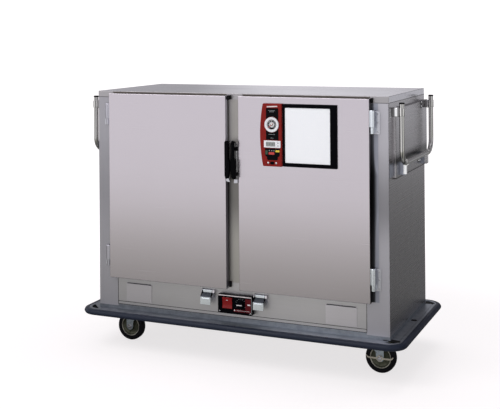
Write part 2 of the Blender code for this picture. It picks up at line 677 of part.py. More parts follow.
def card_holder():
    frame = box("card_frame", CARD_X, (MOUNT_Y - 8.0, MOUNT_Y), CARD_Z, RIGHT_AXIS)
    cut(frame, box("window", CARD_WINDOW_X, (MOUNT_Y - 8.0 - OVER, MOUNT_Y - 2.0),
                   CARD_WINDOW_Z))
    finish(frame, BLACK)
    sheet = box("card_sheet", inset(CARD_WINDOW_X, 0.5), (MOUNT_Y - 4.0, MOUNT_Y - 2.4),
                inset(CARD_WINDOW_Z, 0.5), RIGHT_AXIS)
    finish(sheet, WHITE)


# ==========================================================================
# plug-in control module with its two latches
# ==========================================================================
TRAY_X, TRAY_Z, TRAY_BACK, TRAY_T = inset(MODULE_X, 6), inset(MODULE_Z, 4.5), -90.0, 1.5
TRAY_FLOOR = TRAY_Z[0]
FAN_X, FAN_Y = 9.0, -150.0
ROCKER_X, ROCKER_Z = (-58.0, -5.0), (289.0, 347.0)
KNOB_X, KNOB_Z = 42.0, 317.0
WELL_DEPTH = 18.0              # rocker and knob holes in the faceplate
COIL_ROWS, COIL_Y, COIL_PITCH, COIL_Z = 5, -320.0, 26.0, 318.0
# (radius, sideways) corners of a fan blade, seen along the shaft
BLADE = ((24, -3), (32, 3), (31, 4.2), (23, -1.8))
BLADE_COUNT = 10
# (y, z) outline of a module latch's paddle, from its pin
PADDLE = ((-1, 6.3), (-6, 6.2), (-6.2, -8), (-30, -26), (-30, -64), (-27, -64), (-27, -28),
          (-3, -10.5), (-1, -6))


def module_housing():
    """Open-topped tray with an inlet in its back wall, and the fan's motor and shaft."""
    tray = box("module_housing", TRAY_X, (FRONT - 1.0, TRAY_BACK), TRAY_Z)
    cut(tray,
        box("hollow", inset(TRAY_X, TRAY_T), (FRONT + 0.5, TRAY_BACK - TRAY_T),
            (TRAY_FLOOR + TRAY_T, TRAY_Z[1] + OVER)),
        box("inlet", inset(MODULE_X, 40), span(OVER, TRAY_BACK), inset(TRAY_Z, 20)))
    join(tray,
         rod("shaft", "z", (FAN_X, FAN_Y), 4.0, (TRAY_FLOOR + 0.5, TRAY_FLOOR + 44), 12),
         rod("motor", "z", (FAN_X, FAN_Y), 22.0, (TRAY_FLOOR + 0.5, TRAY_FLOOR + 16), 20))
    finish(tray, GALVANISED)


def module_faceplate():
    face = box("module_faceplate", MODULE_X, (MODULE_FRONT, FRONT - 1.4), MODULE_Z)
    well_y = (MODULE_FRONT - OVER, MODULE_FRONT + WELL_DEPTH)
    cut(face,
        box("rocker_well", inset(ROCKER_X, -1.2), well_y, inset(ROCKER_Z, -1.2)),
        rod("knob_hole", "y", (KNOB_X, KNOB_Z), 5.0, well_y))
    finish(face, BLACK)


def power_rocker():
    y = MODULE_FRONT + 7.0
    z0, z1 = ROCKER_Z
    mid_z = middle(ROCKER_Z)
    outline = [(y - 11.5, z0 + 1), (y - 13.5, z1 - 1.5), (y + 2.0, z1 - 4), (y + 4.0, mid_z),
               (y + 2.0, z0 + 4)]
    rocker = prism("power_rocker", outline, "x", ROCKER_X, (middle(ROCKER_X), y, mid_z))
    bevel(rocker, 1.2)
    finish(rocker, RED_LENS)


def thermostat_knob():
    """Skirted knob with a grip bar across its cap and a stem into the faceplate."""
    y = MODULE_FRONT
    profile = [(0.6, -17.5), (16.0, -17.5), (17.5, -16.0), (19.0, -5.0), (22.0, -3.0),
               (22.0, 0.0), (0.6, 0.0)]
    knob = turned("thermostat_knob", profile, (KNOB_X, y - 0.6, KNOB_Z), 28, "y",
                  (KNOB_X, 0.0, KNOB_Z))
    join(knob,
         rod("stem", "y", (KNOB_X, KNOB_Z), 3.4, (y - 3.0, y + 14), 12),
         rod("cap", "y", (KNOB_X, KNOB_Z), 5.0, (y - 17.8, y - 2.0), 12),
         box("grip", span(15, KNOB_X), (y - 22.0, y - 14.0), span(3.5, KNOB_Z)))
    finish(knob, BLACK, smooth=True)


def heater_element():
    """Level serpentine bar, each row run the opposite way to the last."""
    ends = inset(TRAY_X, 14)
    path = []
    for row in range(COIL_ROWS):
        y = COIL_Y + COIL_PITCH * row
        path += [(x, y, COIL_Z) for x in (ends if row % 2 == 0 else ends[::-1])]
    finish(tube("heater_element", path, 4.0, 8, (0.0, 0.0, 1.0)), GALVANISED, smooth=True)


def fan_impeller():
    profile = [(5.5, 0.0), (33.0, 0.0), (33.0, 3.0), (9.0, 3.0), (9.0, 22.0), (5.5, 22.0)]
    fan = turned("fan_impeller", profile, (FAN_X, FAN_Y, TRAY_FLOOR + 20.0), 24, "z",
                 (FAN_X, FAN_Y, 0.0))
    for i in range(BLADE_COUNT):
        turn = 2 * math.pi * i / BLADE_COUNT
        c, s = math.cos(turn), math.sin(turn)
        outline = [(FAN_X + c * out - s * aside, FAN_Y + s * out + c * aside)
                   for out, aside in BLADE]
        join(fan, prism("blade", outline, "z", (TRAY_FLOOR + 21.0, TRAY_FLOOR + 44.0)))
    finish(fan, GALVANISED)


def module_latches():
    y, z = MODULE_PIN_Y, MODULE_PIN_Z
    paddle = [(y + dy, z + dz) for dy, dz in PADDLE]
    for side, x_ends, _ in MODULE_LATCHES:
        latch = rod(f"module_latch_{side}", "x", (y, z), 6.4, x_ends,
                    origin=(middle(x_ends), y, z))
        join(latch, prism("paddle", paddle, "x", inset(x_ends, 0.4)))
        cut(latch, rod("bore", "x", (y, z), 3.1, inset(x_ends, -OVER), 12))
        finish(latch, CAST, smooth=True)


# ==========================================================================
# casters
# ==========================================================================
WHEEL_TRAIL, WHEEL_R, WHEEL_W = 32.0, 76.0, 38.0
AXLE_REACH, BRAKED_REACH = 33.0, 41.0      # axle ends from the wheel's mid-plane
NUT = (0.5, 6.5)                           # span of a nut, inward from the axle's end
# (x, z) outline of a brake arm, from the axle
BRAKE_ARM = ((12.0, 3.5), (58.0, 3.5), (66.0, 13.0), (70.0, 10.0), (61.0, -3.5), (12.0, -3.5))


def caster_fork(name, x, y, trail, wheel_x, outward, reach):
    """Swivel disc, crown, bridge, two legs and the axle with its nuts."""
    profile = [(0.6, 0.0), (33.0, 0.0), (33.0, 9.0), (28.0, 11.0), (0.6, 11.0)]
    fork = turned(name, profile, (x, y, CASTER_TOP - 7.3 - 11.0), 16, "z", (x, y, 0.0))
    leg = [(x - trail * 30, 173.0), (x + trail * 32, 173.0), (wheel_x + trail * 12, 120.0),
           (wheel_x + trail * 13, 76.0), (wheel_x + trail * 7, 65.0),
           (wheel_x - trail * 7, 65.0), (wheel_x - trail * 13, 76.0), (x - trail * 24, 140.0)]
    outer = y + outward * reach
    inner = y - outward * AXLE_REACH
    near, far = mirror(outward, NUT)
    axle = (wheel_x, WHEEL_R)
    join(fork,
         rod("crown", "z", (x, y), 6.0, (CASTER_TOP - 18.0, CASTER_TOP - 7.6), 12),
         box("bridge", span(30, x), span(26, y), (164.0, 173.0)),
         prism("leg", leg, "y", (y - 22.5, y - 26.0)),
         prism("leg", leg, "y", (y + 22.5, y + 26.0)),
         rod("axle", "y", axle, 5.5, (outer, inner), 12),
         rod("nut", "y", axle, 9.0, (inner + far, inner + near), 6),
         rod("nut", "y", axle, 9.0, (outer - near, outer - far), 6))
    finish(fork, ZINC)


def caster_wheel(name, centre):
    half = WHEEL_W / 2
    profile = [
        (6.6, -21.0), (15.0, -21.0), (17.0, -9.0), (47.0, -8.0), (52.0, -17.0), (69.0, -half),
        (WHEEL_R, -half + 8), (WHEEL_R, half - 8), (69.0, half), (52.0, 17.0), (47.0, 8.0),
        (17.0, 9.0), (15.0, 21.0), (6.6, 21.0),
    ]
    finish(turned(name, profile, centre, 28, "y", centre), BLACK, smooth=True)


def brake_lever(name, centre, outward):
    """Collar round the axle, outside the fork, with an arm to each side."""
    x, y, z = centre
    y0, y1 = sorted((y + outward * 33.6, y + outward * 27.0))
    profile = [(6.4, 0.0), (15.0, 0.0), (15.0, y1 - y0), (6.4, y1 - y0)]
    brake = turned(name, profile, (x, y0, z), 24, "y", centre)
    for sign in (1.0, -1.0):
        outline = [(x + sign * dx, z + dz) for dx, dz in BRAKE_ARM]
        join(brake, prism("arm", outline, "y", inset((y0, y1), 0.6)))
    finish(brake, ZINC)


def casters():
    """Wheels trail to the left at the rear, and toward the nearer side at the front."""
    for end, outward in (("front", -1.0), ("rear", 1.0)):
        for side, sign in SIDES:
            braked = side == "right"
            x, y = sign * SWIVEL_X, outward * CASTER_Y
            trail = -1.0 if end == "rear" else sign
            wheel_x = x + trail * WHEEL_TRAIL
            centre = (wheel_x, y, WHEEL_R)
            caster_fork(f"caster_fork_{end}_{side}", x, y, trail, wheel_x, outward,
                        BRAKED_REACH if braked else AXLE_REACH)
            caster_wheel(f"caster_wheel_{end}_{side}", centre)
            if braked:
                brake_lever(f"brake_lever_{end}", centre, outward)


# ==========================================================================
# build
# ==========================================================================
for old in list(bpy.data.objects):
    bpy.data.objects.remove(old, do_unlink=True)

for build in (top_lid, back_panel, front_frame, kick_panel, blank_covers,
              insulation, inner_liner, heat_duct, base_deck, base_frame, bumper,
              instrument_bezel, dial_thermometer, dial_needle, digital_display, card_holder,
              module_housing, module_faceplate, power_rocker, thermostat_knob,
              heater_element, fan_impeller, module_latches, casters):
    build()

for build in (side_panel, rack, push_handle, door):
    for side_name, side_sign in SIDES:
        build(side_name, side_sign)
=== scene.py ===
"""Looks for the insulated food carrier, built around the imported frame. Lengths in the code are millimetres."""

import math

import bmesh
import bpy
from mathutils import Matrix, Vector


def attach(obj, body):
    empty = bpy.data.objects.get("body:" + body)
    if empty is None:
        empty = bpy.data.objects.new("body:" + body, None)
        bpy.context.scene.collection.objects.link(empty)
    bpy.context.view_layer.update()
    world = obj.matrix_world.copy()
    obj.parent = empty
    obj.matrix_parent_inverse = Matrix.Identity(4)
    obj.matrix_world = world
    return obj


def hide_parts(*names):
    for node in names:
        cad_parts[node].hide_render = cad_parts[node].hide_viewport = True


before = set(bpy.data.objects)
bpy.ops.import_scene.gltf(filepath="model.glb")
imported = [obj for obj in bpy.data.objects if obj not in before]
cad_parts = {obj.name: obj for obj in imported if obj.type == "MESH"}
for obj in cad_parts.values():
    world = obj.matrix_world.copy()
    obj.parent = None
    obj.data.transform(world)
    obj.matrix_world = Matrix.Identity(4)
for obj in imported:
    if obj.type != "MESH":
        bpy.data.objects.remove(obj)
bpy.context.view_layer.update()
MM = 0.001
D = math.radians

# ---- sizes shared with the frame ------------------------------------------
HW, HD = 794.0, 351.0
FRONT = -HD
LID_TOP, LID_Z0 = 1361.0, 1330.0
WALL_TOP = LID_Z0 - 0.3
BODY_BOTTOM = 229.5
COLUMN_W = 114.0
INNER_X = HW - COLUMN_W - 0.3
DOOR_X0, DOOR_X1, DOOR_Z0, DOOR_Z1 = 34.5, 709.0, 385.0, 1350.0
DOOR_FRONT, DOOR_BACK = -387.0, -362.0
HINGE_X, HINGE_Y = 721.0, -376.0
HINGE_Z = ((1185.0, 1217.0, 1298.0), (445.0, 474.0, 553.0))
DECK_Z = 215.0
RIM_OUT, RIM_IN, OVERHANG, BUMPER_R = 57.0, 46.0, 83.0, 88.0
BUMPER_Z0, BUMPER_Z1 = 185.0, 214.5
SWIVEL_X, WHEEL_TRAIL, CASTER_Y, WHEEL_R, CASTER_TOP = 668.0, 32.0, 177.0, 76.0, 190.0
MOD_X0, MOD_X1, MOD_Z0, MOD_Z1, MOD_FRONT = -84.0, 102.0, 266.0, 357.0, -385.0
MLATCH_Y, MLATCH_Z = -358.0, 361.0
MLATCH_X = {"left": (-181.0, -123.0), "right": (108.0, 165.0)}
SIDES = (("left", -1.0), ("right", 1.0))

# ============================================================================
# node helpers
# ============================================================================


def new_mat(name):
    m = bpy.data.materials.new(name)
    m.use_nodes = True
    nt = m.node_tree
    return m, nt, nt.nodes["Principled BSDF"]


def node(nt, kind, **settings):
    n = nt.nodes.new(kind)
    for k, v in settings.items():
        if k.startswith("_"):
            n.inputs[k[1:].replace("_", " ")].default_value = v
        else:
            setattr(n, k, v)
    return n


def coords(nt, scale=(1, 1, 1), kind="Object", loc=(0, 0, 0)):
    tc = node(nt, "ShaderNodeTexCoord")
    mp = node(nt, "ShaderNodeMapping")
    mp.inputs["Scale"].default_value = scale
    mp.inputs["Location"].default_value = loc
    nt.links.new(tc.outputs[kind], mp.inputs["Vector"])
    return mp.outputs["Vector"]


def noise(nt, vec, scale=1.0, detail=3.0, rough=0.5, distortion=0.0):
    n = node(nt, "ShaderNodeTexNoise")
    n.inputs["Scale"].default_value = scale
    n.inputs["Detail"].default_value = detail
    n.inputs["Roughness"].default_value = rough
    n.inputs["Distortion"].default_value = distortion
    nt.links.new(vec, n.inputs["Vector"])
    return n.outputs["Fac"]


def maprange(nt, val, a, b, c, d, smooth=False):
    n = node(nt, "ShaderNodeMapRange")
    if smooth:
        n.interpolation_type = "SMOOTHSTEP"
    nt.links.new(val, n.inputs["Value"])
    for k, v in (("From Min", a), ("From Max", b), ("To Min", c), ("To Max", d)):
        n.inputs[k].default_value = v
    return n.outputs["Result"]


def maths(nt, op, a, b=None):
    n = node(nt, "ShaderNodeMath", operation=op)
    for i, v in enumerate((a, b)):
        if v is None:
            continue
        if isinstance(v, (int, float)):
            n.inputs[i].default_value = v
        else:
            nt.links.new(v, n.inputs[i])
    return n.outputs[0]


def mix(nt, fac, a, b, blend="MIX"):
    n = node(nt, "ShaderNodeMix", data_type="RGBA", blend_type=blend)
    for sock, v in ((n.inputs[0], fac), (n.inputs[6], a), (n.inputs[7], b)):
        if isinstance(v, (int, float)):
            sock.default_value = v
        elif isinstance(v, tuple):
            sock.default_value = (*v, 1.0) if len(v) == 3 else v
        else:
            nt.links.new(v, sock)
    return n.outputs[2]


def scaled(nt, rgb, fac):
    """rgb times a value."""
    n = node(nt, "ShaderNodeVectorMath", operation="SCALE")
    if isinstance(rgb, tuple):
        n.inputs[0].default_value = rgb
    else:
        nt.links.new(rgb, n.inputs[0])
    nt.links.new(fac, n.inputs["Scale"])
    return n.outputs[0]


def bump(nt, bsdf, height, strength, dist=0.001, coat=False):
    n = node(nt, "ShaderNodeBump")
    n.inputs["Strength"].default_value = strength
    n.inputs["Distance"].default_value = dist
    nt.links.new(height, n.inputs["Height"])
    nt.links.new(n.outputs["Normal"], bsdf.inputs["Normal"])
    return n


def xyz(nt, vec):
    n = node(nt, "ShaderNodeSeparateXYZ")
    nt.links.new(vec, n.inputs[0])
    return n.outputs


def edge_light(nt, radius=0.0012):
    """1 along convex edges, 0 on faces: where handling polishes a piece."""
    g = node(nt, "ShaderNodeNewGeometry")
    return maprange(nt, g.outputs["Pointiness"], 0.52, 0.62, 0.0, 1.0)


# ============================================================================
# materials
# ============================================================================


def steel(name, rgb, rough=0.33, grain="x", streak=0.045, aniso=0.6, relief=0.05, cloud=0.03, smudge=0.05, shade=None):
    """Brushed stainless: fine grain along one axis, in colour, roughness and relief, with soft clouding and faint wiping marks."""
    m, nt, b = new_mat(name)
    fine = {"x": (3.0, 900.0, 900.0), "y": (900.0, 3.0, 900.0), "z": (900.0, 900.0, 3.0)}[grain]
    coarse = tuple(v * 0.22 if v > 10 else v * 0.7 for v in fine)
    g1 = noise(nt, coords(nt, fine), 1.0, 2.0, 0.6)
    g2 = noise(nt, coords(nt, coarse, loc=(0.37, 1.9, 0.71)), 1.0, 3.0, 0.55)
    c = noise(nt, coords(nt, (2.2, 2.2, 2.2)), 1.0, 3.0, 0.6)
    w = noise(nt, coords(nt, (9.0, 9.0, 5.0), loc=(3.0, 1.0, 7.0)), 1.0, 5.0, 0.65, 0.6)
    grainmix = maths(nt, "ADD", maths(nt, "MULTIPLY", g1, 0.55), maths(nt, "MULTIPLY", g2, 0.45))
    val = maprange(nt, grainmix, 0.3, 0.7, 1.0 - streak, 1.0 + streak)
    val = maths(nt, "MULTIPLY", val, maprange(nt, c, 0.3, 0.7, 1.0 - cloud, 1.0 + cloud))
    # painted light and shade, where a shade function is given
    if shade:
        val = maths(nt, "MULTIPLY", val, shade(nt))
    nt.links.new(scaled(nt, rgb, val), b.inputs["Base Color"])
    r = maths(nt, "ADD", maprange(nt, grainmix, 0.3, 0.7, rough - 0.035, rough + 0.035), maprange(nt, w, 0.42, 0.72, 0.0, smudge))
    nt.links.new(r, b.inputs["Roughness"])
    b.inputs["Metallic"].default_value = 1.0
    b.inputs["Anisotropic"].default_value = aniso
    t = node(nt, "ShaderNodeTangent", direction_type="RADIAL", axis="Z")
    nt.links.new(t.outputs[0], b.inputs["Tangent"])
    bump(nt, b, grainmix, relief, 0.0006)
    return m


def metal(name, rgb, rough, mottled=0.05, scale=60.0, relief=0.04, tint=None, shade=None):
    """Plated or cast metal: soft mottling and tiny relief."""
    m, nt, b = new_mat(name)
    n1 = noise(nt, coords(nt, (scale,) * 3), 1.0, 4.0, 0.6)
    n2 = noise(nt, coords(nt, (scale * 7,) * 3), 1.0, 2.0, 0.5)
    col = scaled(nt, rgb, maprange(nt, n1, 0.3, 0.7, 1.0 - mottled, 1.0 + mottled))
    if tint:
        col = mix(nt, maprange(nt, n1, 0.4, 0.66, 0.0, 0.55), col, tint)
    # painted light and shade, where a shade function is given
    if shade:
        col = scaled(nt, col, shade(nt))
    nt.links.new(col, b.inputs["Base Color"])
    nt.links.new(maprange(nt, n1, 0.3, 0.7, max(0.02, rough - 0.04), rough + 0.05), b.inputs["Roughness"])
    b.inputs["Metallic"].default_value = 1.0
    bump(nt, b, maths(nt, "ADD", maths(nt, "MULTIPLY", n1, 0.6), maths(nt, "MULTIPLY", n2, 0.4)), relief, 0.0006)
    return m


def plastic(name, rgb, rough, scale=900.0, relief=0.10, vary=0.08, coat=0.0, edge=0.25, sub=0.0, spec=0.35):
    """Moulded plastic: spark-eroded fine texture, uneven sheen and slightly worn edges."""
    m, nt, b = new_mat(name)
    tex = noise(nt, coords(nt, (scale,) * 3), 1.0, 3.0, 0.6)
    soft = noise(nt, coords(nt, (14.0,) * 3), 1.0, 4.0, 0.6)
    base = scaled(nt, rgb, maprange(nt, soft, 0.3, 0.7, 1.0 - vary, 1.0 + vary))
    worn = tuple(min(1.0, c * 1.6 + 0.02) for c in rgb)
    nt.links.new(mix(nt, maths(nt, "MULTIPLY", edge_light(nt), edge), base, worn), b.inputs["Base Color"])
    nt.links.new(maprange(nt, soft, 0.3, 0.7, rough - 0.05, rough + 0.06), b.inputs["Roughness"])
    b.inputs["Specular IOR Level"].default_value = spec
    b.inputs["Coat Weight"].default_value = coat
    b.inputs["Coat Roughness"].default_value = 0.08
    if sub:
        b.inputs["Subsurface Weight"].default_value = sub
        b.inputs["Subsurface Radius"].default_value = (0.004, 0.002, 0.002)
    bump(nt, b, tex, relief, 0.0004)
    return m


def rubber(name, rgb, rough, dust=(0.10, 0.10, 0.11), dusty=0.25, relief=0.25, spec=0.2):
    m, nt, b = new_mat(name)
    tex = noise(nt, coords(nt, (420.0,) * 3), 1.0, 4.0, 0.65)
    scuff = noise(nt, coords(nt, (12.0, 12.0, 55.0)), 1.0, 6.0, 0.7, 0.8)
    col = mix(nt, maprange(nt, scuff, 0.52, 0.78, 0.0, dusty), rgb, dust)
    nt.links.new(col, b.inputs["Base Color"])
    nt.links.new(maprange(nt, scuff, 0.3, 0.75, rough - 0.08, rough + 0.14), b.inputs["Roughness"])
    b.inputs["Specular IOR Level"].default_value = spec
    bump(nt, b, tex, relief, 0.0005)
    return m


def foam_mat(name):
    m, nt, b = new_mat(name)
    v = node(nt, "ShaderNodeTexVoronoi", feature="F1")
    v.inputs["Scale"].default_value = 1.0
    nt.links.new(coords(nt, (700.0,) * 3), v.inputs["Vector"])
    n = noise(nt, coords(nt, (9.0,) * 3), 1.0, 4.0, 0.6)
    nt.links.new(mix(nt, maprange(nt, n, 0.35, 0.7, 0.0, 1.0), (0.80, 0.71, 0.46), (0.66, 0.54, 0.30)), b.inputs["Base Color"])
    b.inputs["Roughness"].default_value = 0.9
    bump(nt, b, v.outputs["Distance"], 0.5, 0.001)
    return m


def paper(name):
    m, nt, b = new_mat(name)
    fibre = noise(nt, coords(nt, (260.0, 260.0, 90.0)), 1.0, 5.0, 0.7)
    nt.links.new(mix(nt, maprange(nt, fibre, 0.35, 0.7, 0.0, 1.0), (0.97, 0.985, 1.0), (0.93, 0.955, 0.975)), b.inputs["Base Color"])
    b.inputs["Roughness"].default_value = 0.55
    b.inputs["Coat Weight"].default_value = 0.35
    b.inputs["Coat Roughness"].default_value = 0.12
    bump(nt, b, fibre, 0.08, 0.0003)
    return m


def lcd(name):
    """Grey display window with a faint segment lattice."""
    m, nt, b = new_mat(name)
    w = node(nt, "ShaderNodeTexWave", wave_type="BANDS", bands_direction="X", wave_profile="SIN")
    w.inputs["Scale"].default_value = 1.0
    nt.links.new(coords(nt, (38.0, 1.0, 1.0)), w.inputs["Vector"])
    z = xyz(nt, coords(nt))[2]
    band = maths(nt, "MULTIPLY", maprange(nt, z, 1.1125, 1.1145, 0.0, 1.0), maprange(nt, z, 1.1275, 1.1295, 1.0, 0.0))
    seg = maths(nt, "MULTIPLY", maprange(nt, w.outputs["Fac"], 0.35, 0.6, 0.0, 1.0), band)
    nt.links.new(mix(nt, maths(nt, "MULTIPLY", seg, 0.75), (0.30, 0.32, 0.31), (0.06, 0.065, 0.065)), b.inputs["Base Color"])
    b.inputs["Roughness"].default_value = 0.25
    b.inputs["Coat Weight"].default_value = 0.6
    n = noise(nt, coords(nt, (400.0,) * 3), 1.0, 2.0)
    bump(nt, b, n, 0.02, 0.0002)
    return m


def ink(name, rgb, rough=0.3, coat=0.3):
    return plastic(name, rgb, rough, 1400.0, 0.04, 0.05, coat, 0.0)


def height_shade(z0, z1, low, high=1.0):
    """Slow darkening towards the bottom of a sheet."""
    def make(nt):
        return maprange(nt, xyz(nt, coords(nt))[2], z0, z1, low, high, smooth=True)
    return make


def column_shade(nt):
    """The corner posts are a cooler sheet than the doors, with painted light and shade: the right post painted
    brighter, a painted dark band at mid height, lighter towards the head and at the foot.
    """
    c = xyz(nt, coords(nt))
    side = maprange(nt, c[0], -0.6, 0.6, 0.85, 1.09, smooth=True)
    dip = maths(nt, "MULTIPLY", maprange(nt, c[2], 0.62, 0.84, 1.0, 0.62, smooth=True), 1.0)
    rise = maprange(nt, c[2], 0.86, 1.16, 0.0, 0.46, smooth=True)
    wave = maths(nt, "MINIMUM", 1.08, maths(nt, "ADD", dip, rise))
    wave = maths(nt, "ADD", maths(nt, "MULTIPLY", maths(nt, "SUBTRACT", wave, 1.0), maprange(nt, c[0], 0.0, 0.5, 0.25, 1.0)), 1.0)
    foot = maths(nt, "ADD", 1.0, maths(nt, "MULTIPLY", maprange(nt, c[2], 0.30, 0.95, 0.13, 0.0, smooth=True), maprange(nt, c[0], -0.5, 0.5, 1.0, 0.62)))
    return maths(nt, "MULTIPLY", maths(nt, "MULTIPLY", side, wave), foot)


# Painted light: the kick panel painted darker on the left and brighter on the right.
def kick_shade(nt):
    return maprange(nt, xyz(nt, coords(nt))[0], -0.7, 0.6, 0.88, 1.12, smooth=True)


# Painted light: the blank covers painted darker on the left and brighter on the right.
def cover_shade(nt):
    return maprange(nt, xyz(nt, coords(nt))[0], -0.5, 0.5, 0.94, 1.20, smooth=True)


def edge_shade(nt):
    """The doors' turned edges look lighter near the head, where light comes over the lid."""
    return maprange(nt, xyz(nt, coords(nt))[2], 0.88, 1.16, 0.35, 2.9, smooth=True)


# Painted light on the left door's edges: lighter towards the head.
def pale_shade(nt):
    return maprange(nt, xyz(nt, coords(nt))[2], 0.96, 1.14, 0.62, 1.6, smooth=True)


# Painted shade on the mullion: darkest at mid height, lighter below and towards the head.
def mullion_shade(nt):
    z = xyz(nt, coords(nt))[2]
    return maths(nt, "ADD", maprange(nt, z, 0.60, 0.84, 1.35, 0.62, smooth=True), maprange(nt, z, 0.90, 1.10, 0.0, 0.44, smooth=True))


def panel_shade(nt):
    """The foot of the raised panel sits in the handle rung's shade."""
    c = xyz(nt, coords(nt))
    low = maths(nt, "ADD", maprange(nt, c[2], 1.052, 1.094, 0.28, 1.0, smooth=True), maprange(nt, c[2], 1.020, 1.044, 0.62, 0.0, smooth=True))
    on = maths(nt, "MULTIPLY", maths(nt, "GREATER_THAN", maths(nt, "ABSOLUTE", c[0]), 0.7955), maths(nt, "GREATER_THAN", c[2], 0.95))
    return maths(nt, "ADD", maths(nt, "SUBTRACT", 1.0, on), maths(nt, "MULTIPLY", on, low))


def strip_shade(nt):
    """Painted shade and painted reflection beside the hinge-side gap: darkest at mid height, lighter towards the head
    and the foot, and fading out away from the door.
    """
    c = xyz(nt, coords(nt))
    deep = maths(nt, "ADD", maprange(nt, c[2], 0.98, 1.16, 1.0, 9.0, smooth=True), maprange(nt, c[2], 0.55, 0.85, 3.0, 0.0, smooth=True))
    out = maprange(nt, maths(nt, "ABSOLUTE", c[0]), 0.718, 0.742, 1.0, 24.0, smooth=True)
    return maths(nt, "MINIMUM", maths(nt, "MULTIPLY", deep, out), 27.0)


def tube_shade(nt):
    """Painted reflection: upright tubes would mirror two dark uprights of the room, so dark lines are painted down them
    by the way each face turns.
    """
    g = node(nt, "ShaderNodeNewGeometry")
    n = xyz(nt, g.outputs["Normal"])
    t = maths(nt, "ADD", maths(nt, "MULTIPLY", n[0], 0.918), maths(nt, "MULTIPLY", n[1], 0.397))
    up = maths(nt, "MULTIPLY", maprange(nt, maths(nt, "ABSOLUTE", n[2]), 0.35, 0.6, 1.0, 0.0, smooth=True), 1.0)
    total = 1.0
    for at, width, depth in ((-0.10, 0.34, 0.72), (-0.95, 0.34, 0.70), (1.0, 0.16, 0.45)):
        off = maths(nt, "ABSOLUTE", maths(nt, "SUBTRACT", t, at))
        total = maths(nt, "SUBTRACT", total, maprange(nt, off, width * 0.5, width, depth, 0.0, smooth=True))
    return maths(nt, "ADD", maths(nt, "SUBTRACT", 1.0, up), maths(nt, "MULTIPLY", up, total))


# Painted light on the deck: brighter towards the right, and a step brighter past the body's right side.
def deck_shade(nt):
    c = xyz(nt, coords(nt))
    right = maprange(nt, c[0], 0.790, 0.800, 1.0, 1.08, smooth=True)
    front = maths(nt, "MULTIPLY", maprange(nt, c[0], -0.3, 0.45, 1.08, 1.58, smooth=True), right)
    return front


M = {}
M["door"] = steel("door_stainless", (0.60, 0.555, 0.605), 0.24, "x", 0.009, 0.6, 0.012, 0.006, 0.008)
# door edges: a darkened copy of the door steel, painted shade, lighter towards the head as painted light; also the
# strip under the raised side panel
M["edge"] = steel("painted_shade_steel", (0.115, 0.11, 0.115), 0.40, "z", 0.02, 0.2, 0.02, 0.03, 0.05, edge_shade)
# near-black steel for the strips beside the gaps: painted shade
M["gap"] = steel("shaded_gap", (0.016, 0.0165, 0.019), 0.55, "z", 0.05, 0.1, 0.03, 0.05, 0.05, strip_shade)
# left door's edges: a lighter copy of the same steel, painted light
M["edge_painted_light"] = steel("door_edge_painted_light", (0.56, 0.555, 0.62), 0.45, "z", 0.02, 0.2, 0.02, 0.03, 0.05, pale_shade)
M["case"] = metal("latch_case", (0.26, 0.255, 0.26), 0.34, 0.05, 120.0, 0.05)
M["lid"] = steel("lid_stainless", (0.66, 0.65, 0.69), 0.22, "x", 0.022, 0.3, 0.03, 0.02, 0.04)
# lid front and back faces: a darker copy of the lid steel, painted shade
M["lid_painted_shade"] = steel("lid_painted_shade_stainless", (0.42, 0.405, 0.42), 0.36, "x", 0.022, 0.4, 0.03, 0.02, 0.04)
M["body_front"] = steel("body_front_stainless", (0.50, 0.49, 0.53), 0.50, "x", 0.03, 0.3, 0.03, 0.03, 0.05, column_shade)
M["body_side"] = steel("body_side_stainless", (0.53, 0.515, 0.535), 0.28, "y", 0.006, 0.5, 0.0012, 0.010, 0.006, panel_shade)
M["body_back"] = steel("body_back_stainless", (0.56, 0.55, 0.56), 0.38, "x", 0.03, 0.6, 0.03, 0.03, 0.05)
# mullion: a darker copy of the steel as painted shade
M["mullion"] = steel("mullion_stainless", (0.36, 0.345, 0.33), 0.40, "z", 0.03, 0.3, 0.03, 0.03, 0.05, mullion_shade)
M["kick"] = steel("kick_stainless", (0.60, 0.585, 0.605), 0.42, "x", 0.03, 0.3, 0.03, 0.03, 0.05, kick_shade)
M["cover"] = steel("cover_stainless", (0.64, 0.615, 0.655), 0.40, "x", 0.03, 0.3, 0.03, 0.03, 0.05, cover_shade)
M["liner"] = steel("liner_stainless", (0.62, 0.62, 0.63), 0.30, "x", 0.03, 0.4, 0.03)
M["wire"] = metal("rack_wire", (0.74, 0.74, 0.76), 0.20, 0.04, 120.0, 0.02)
M["galv"] = metal("galvanised_deck", (0.19, 0.205, 0.23), 0.46, 0.10, 34.0, 0.05, (0.25, 0.265, 0.29), deck_shade)
M["galv_in"] = metal("galvanised_sheet", (0.30, 0.31, 0.33), 0.42, 0.12, 40.0, 0.05, (0.40, 0.41, 0.43))
M["chrome"] = metal("chrome_plate", (0.64, 0.63, 0.62), 0.09, 0.02, 26.0, 0.008)
M["tube"] = metal("tube_chrome", (0.80, 0.79, 0.78), 0.10, 0.02, 26.0, 0.008, None, tube_shade)
M["leaf_cool"] = metal("cool_leaf", (0.44, 0.47, 0.55), 0.36, 0.05, 120.0, 0.05)
# brighter copy of the chrome for the handles' fittings: painted highlight
M["chrome_painted_highlight"] = metal("chrome_painted_highlight", (0.86, 0.86, 0.88), 0.16, 0.02, 26.0, 0.008)
M["cast"] = metal("satin_casting", (0.88, 0.93, 1.0), 0.30, 0.03, 160.0, 0.10)
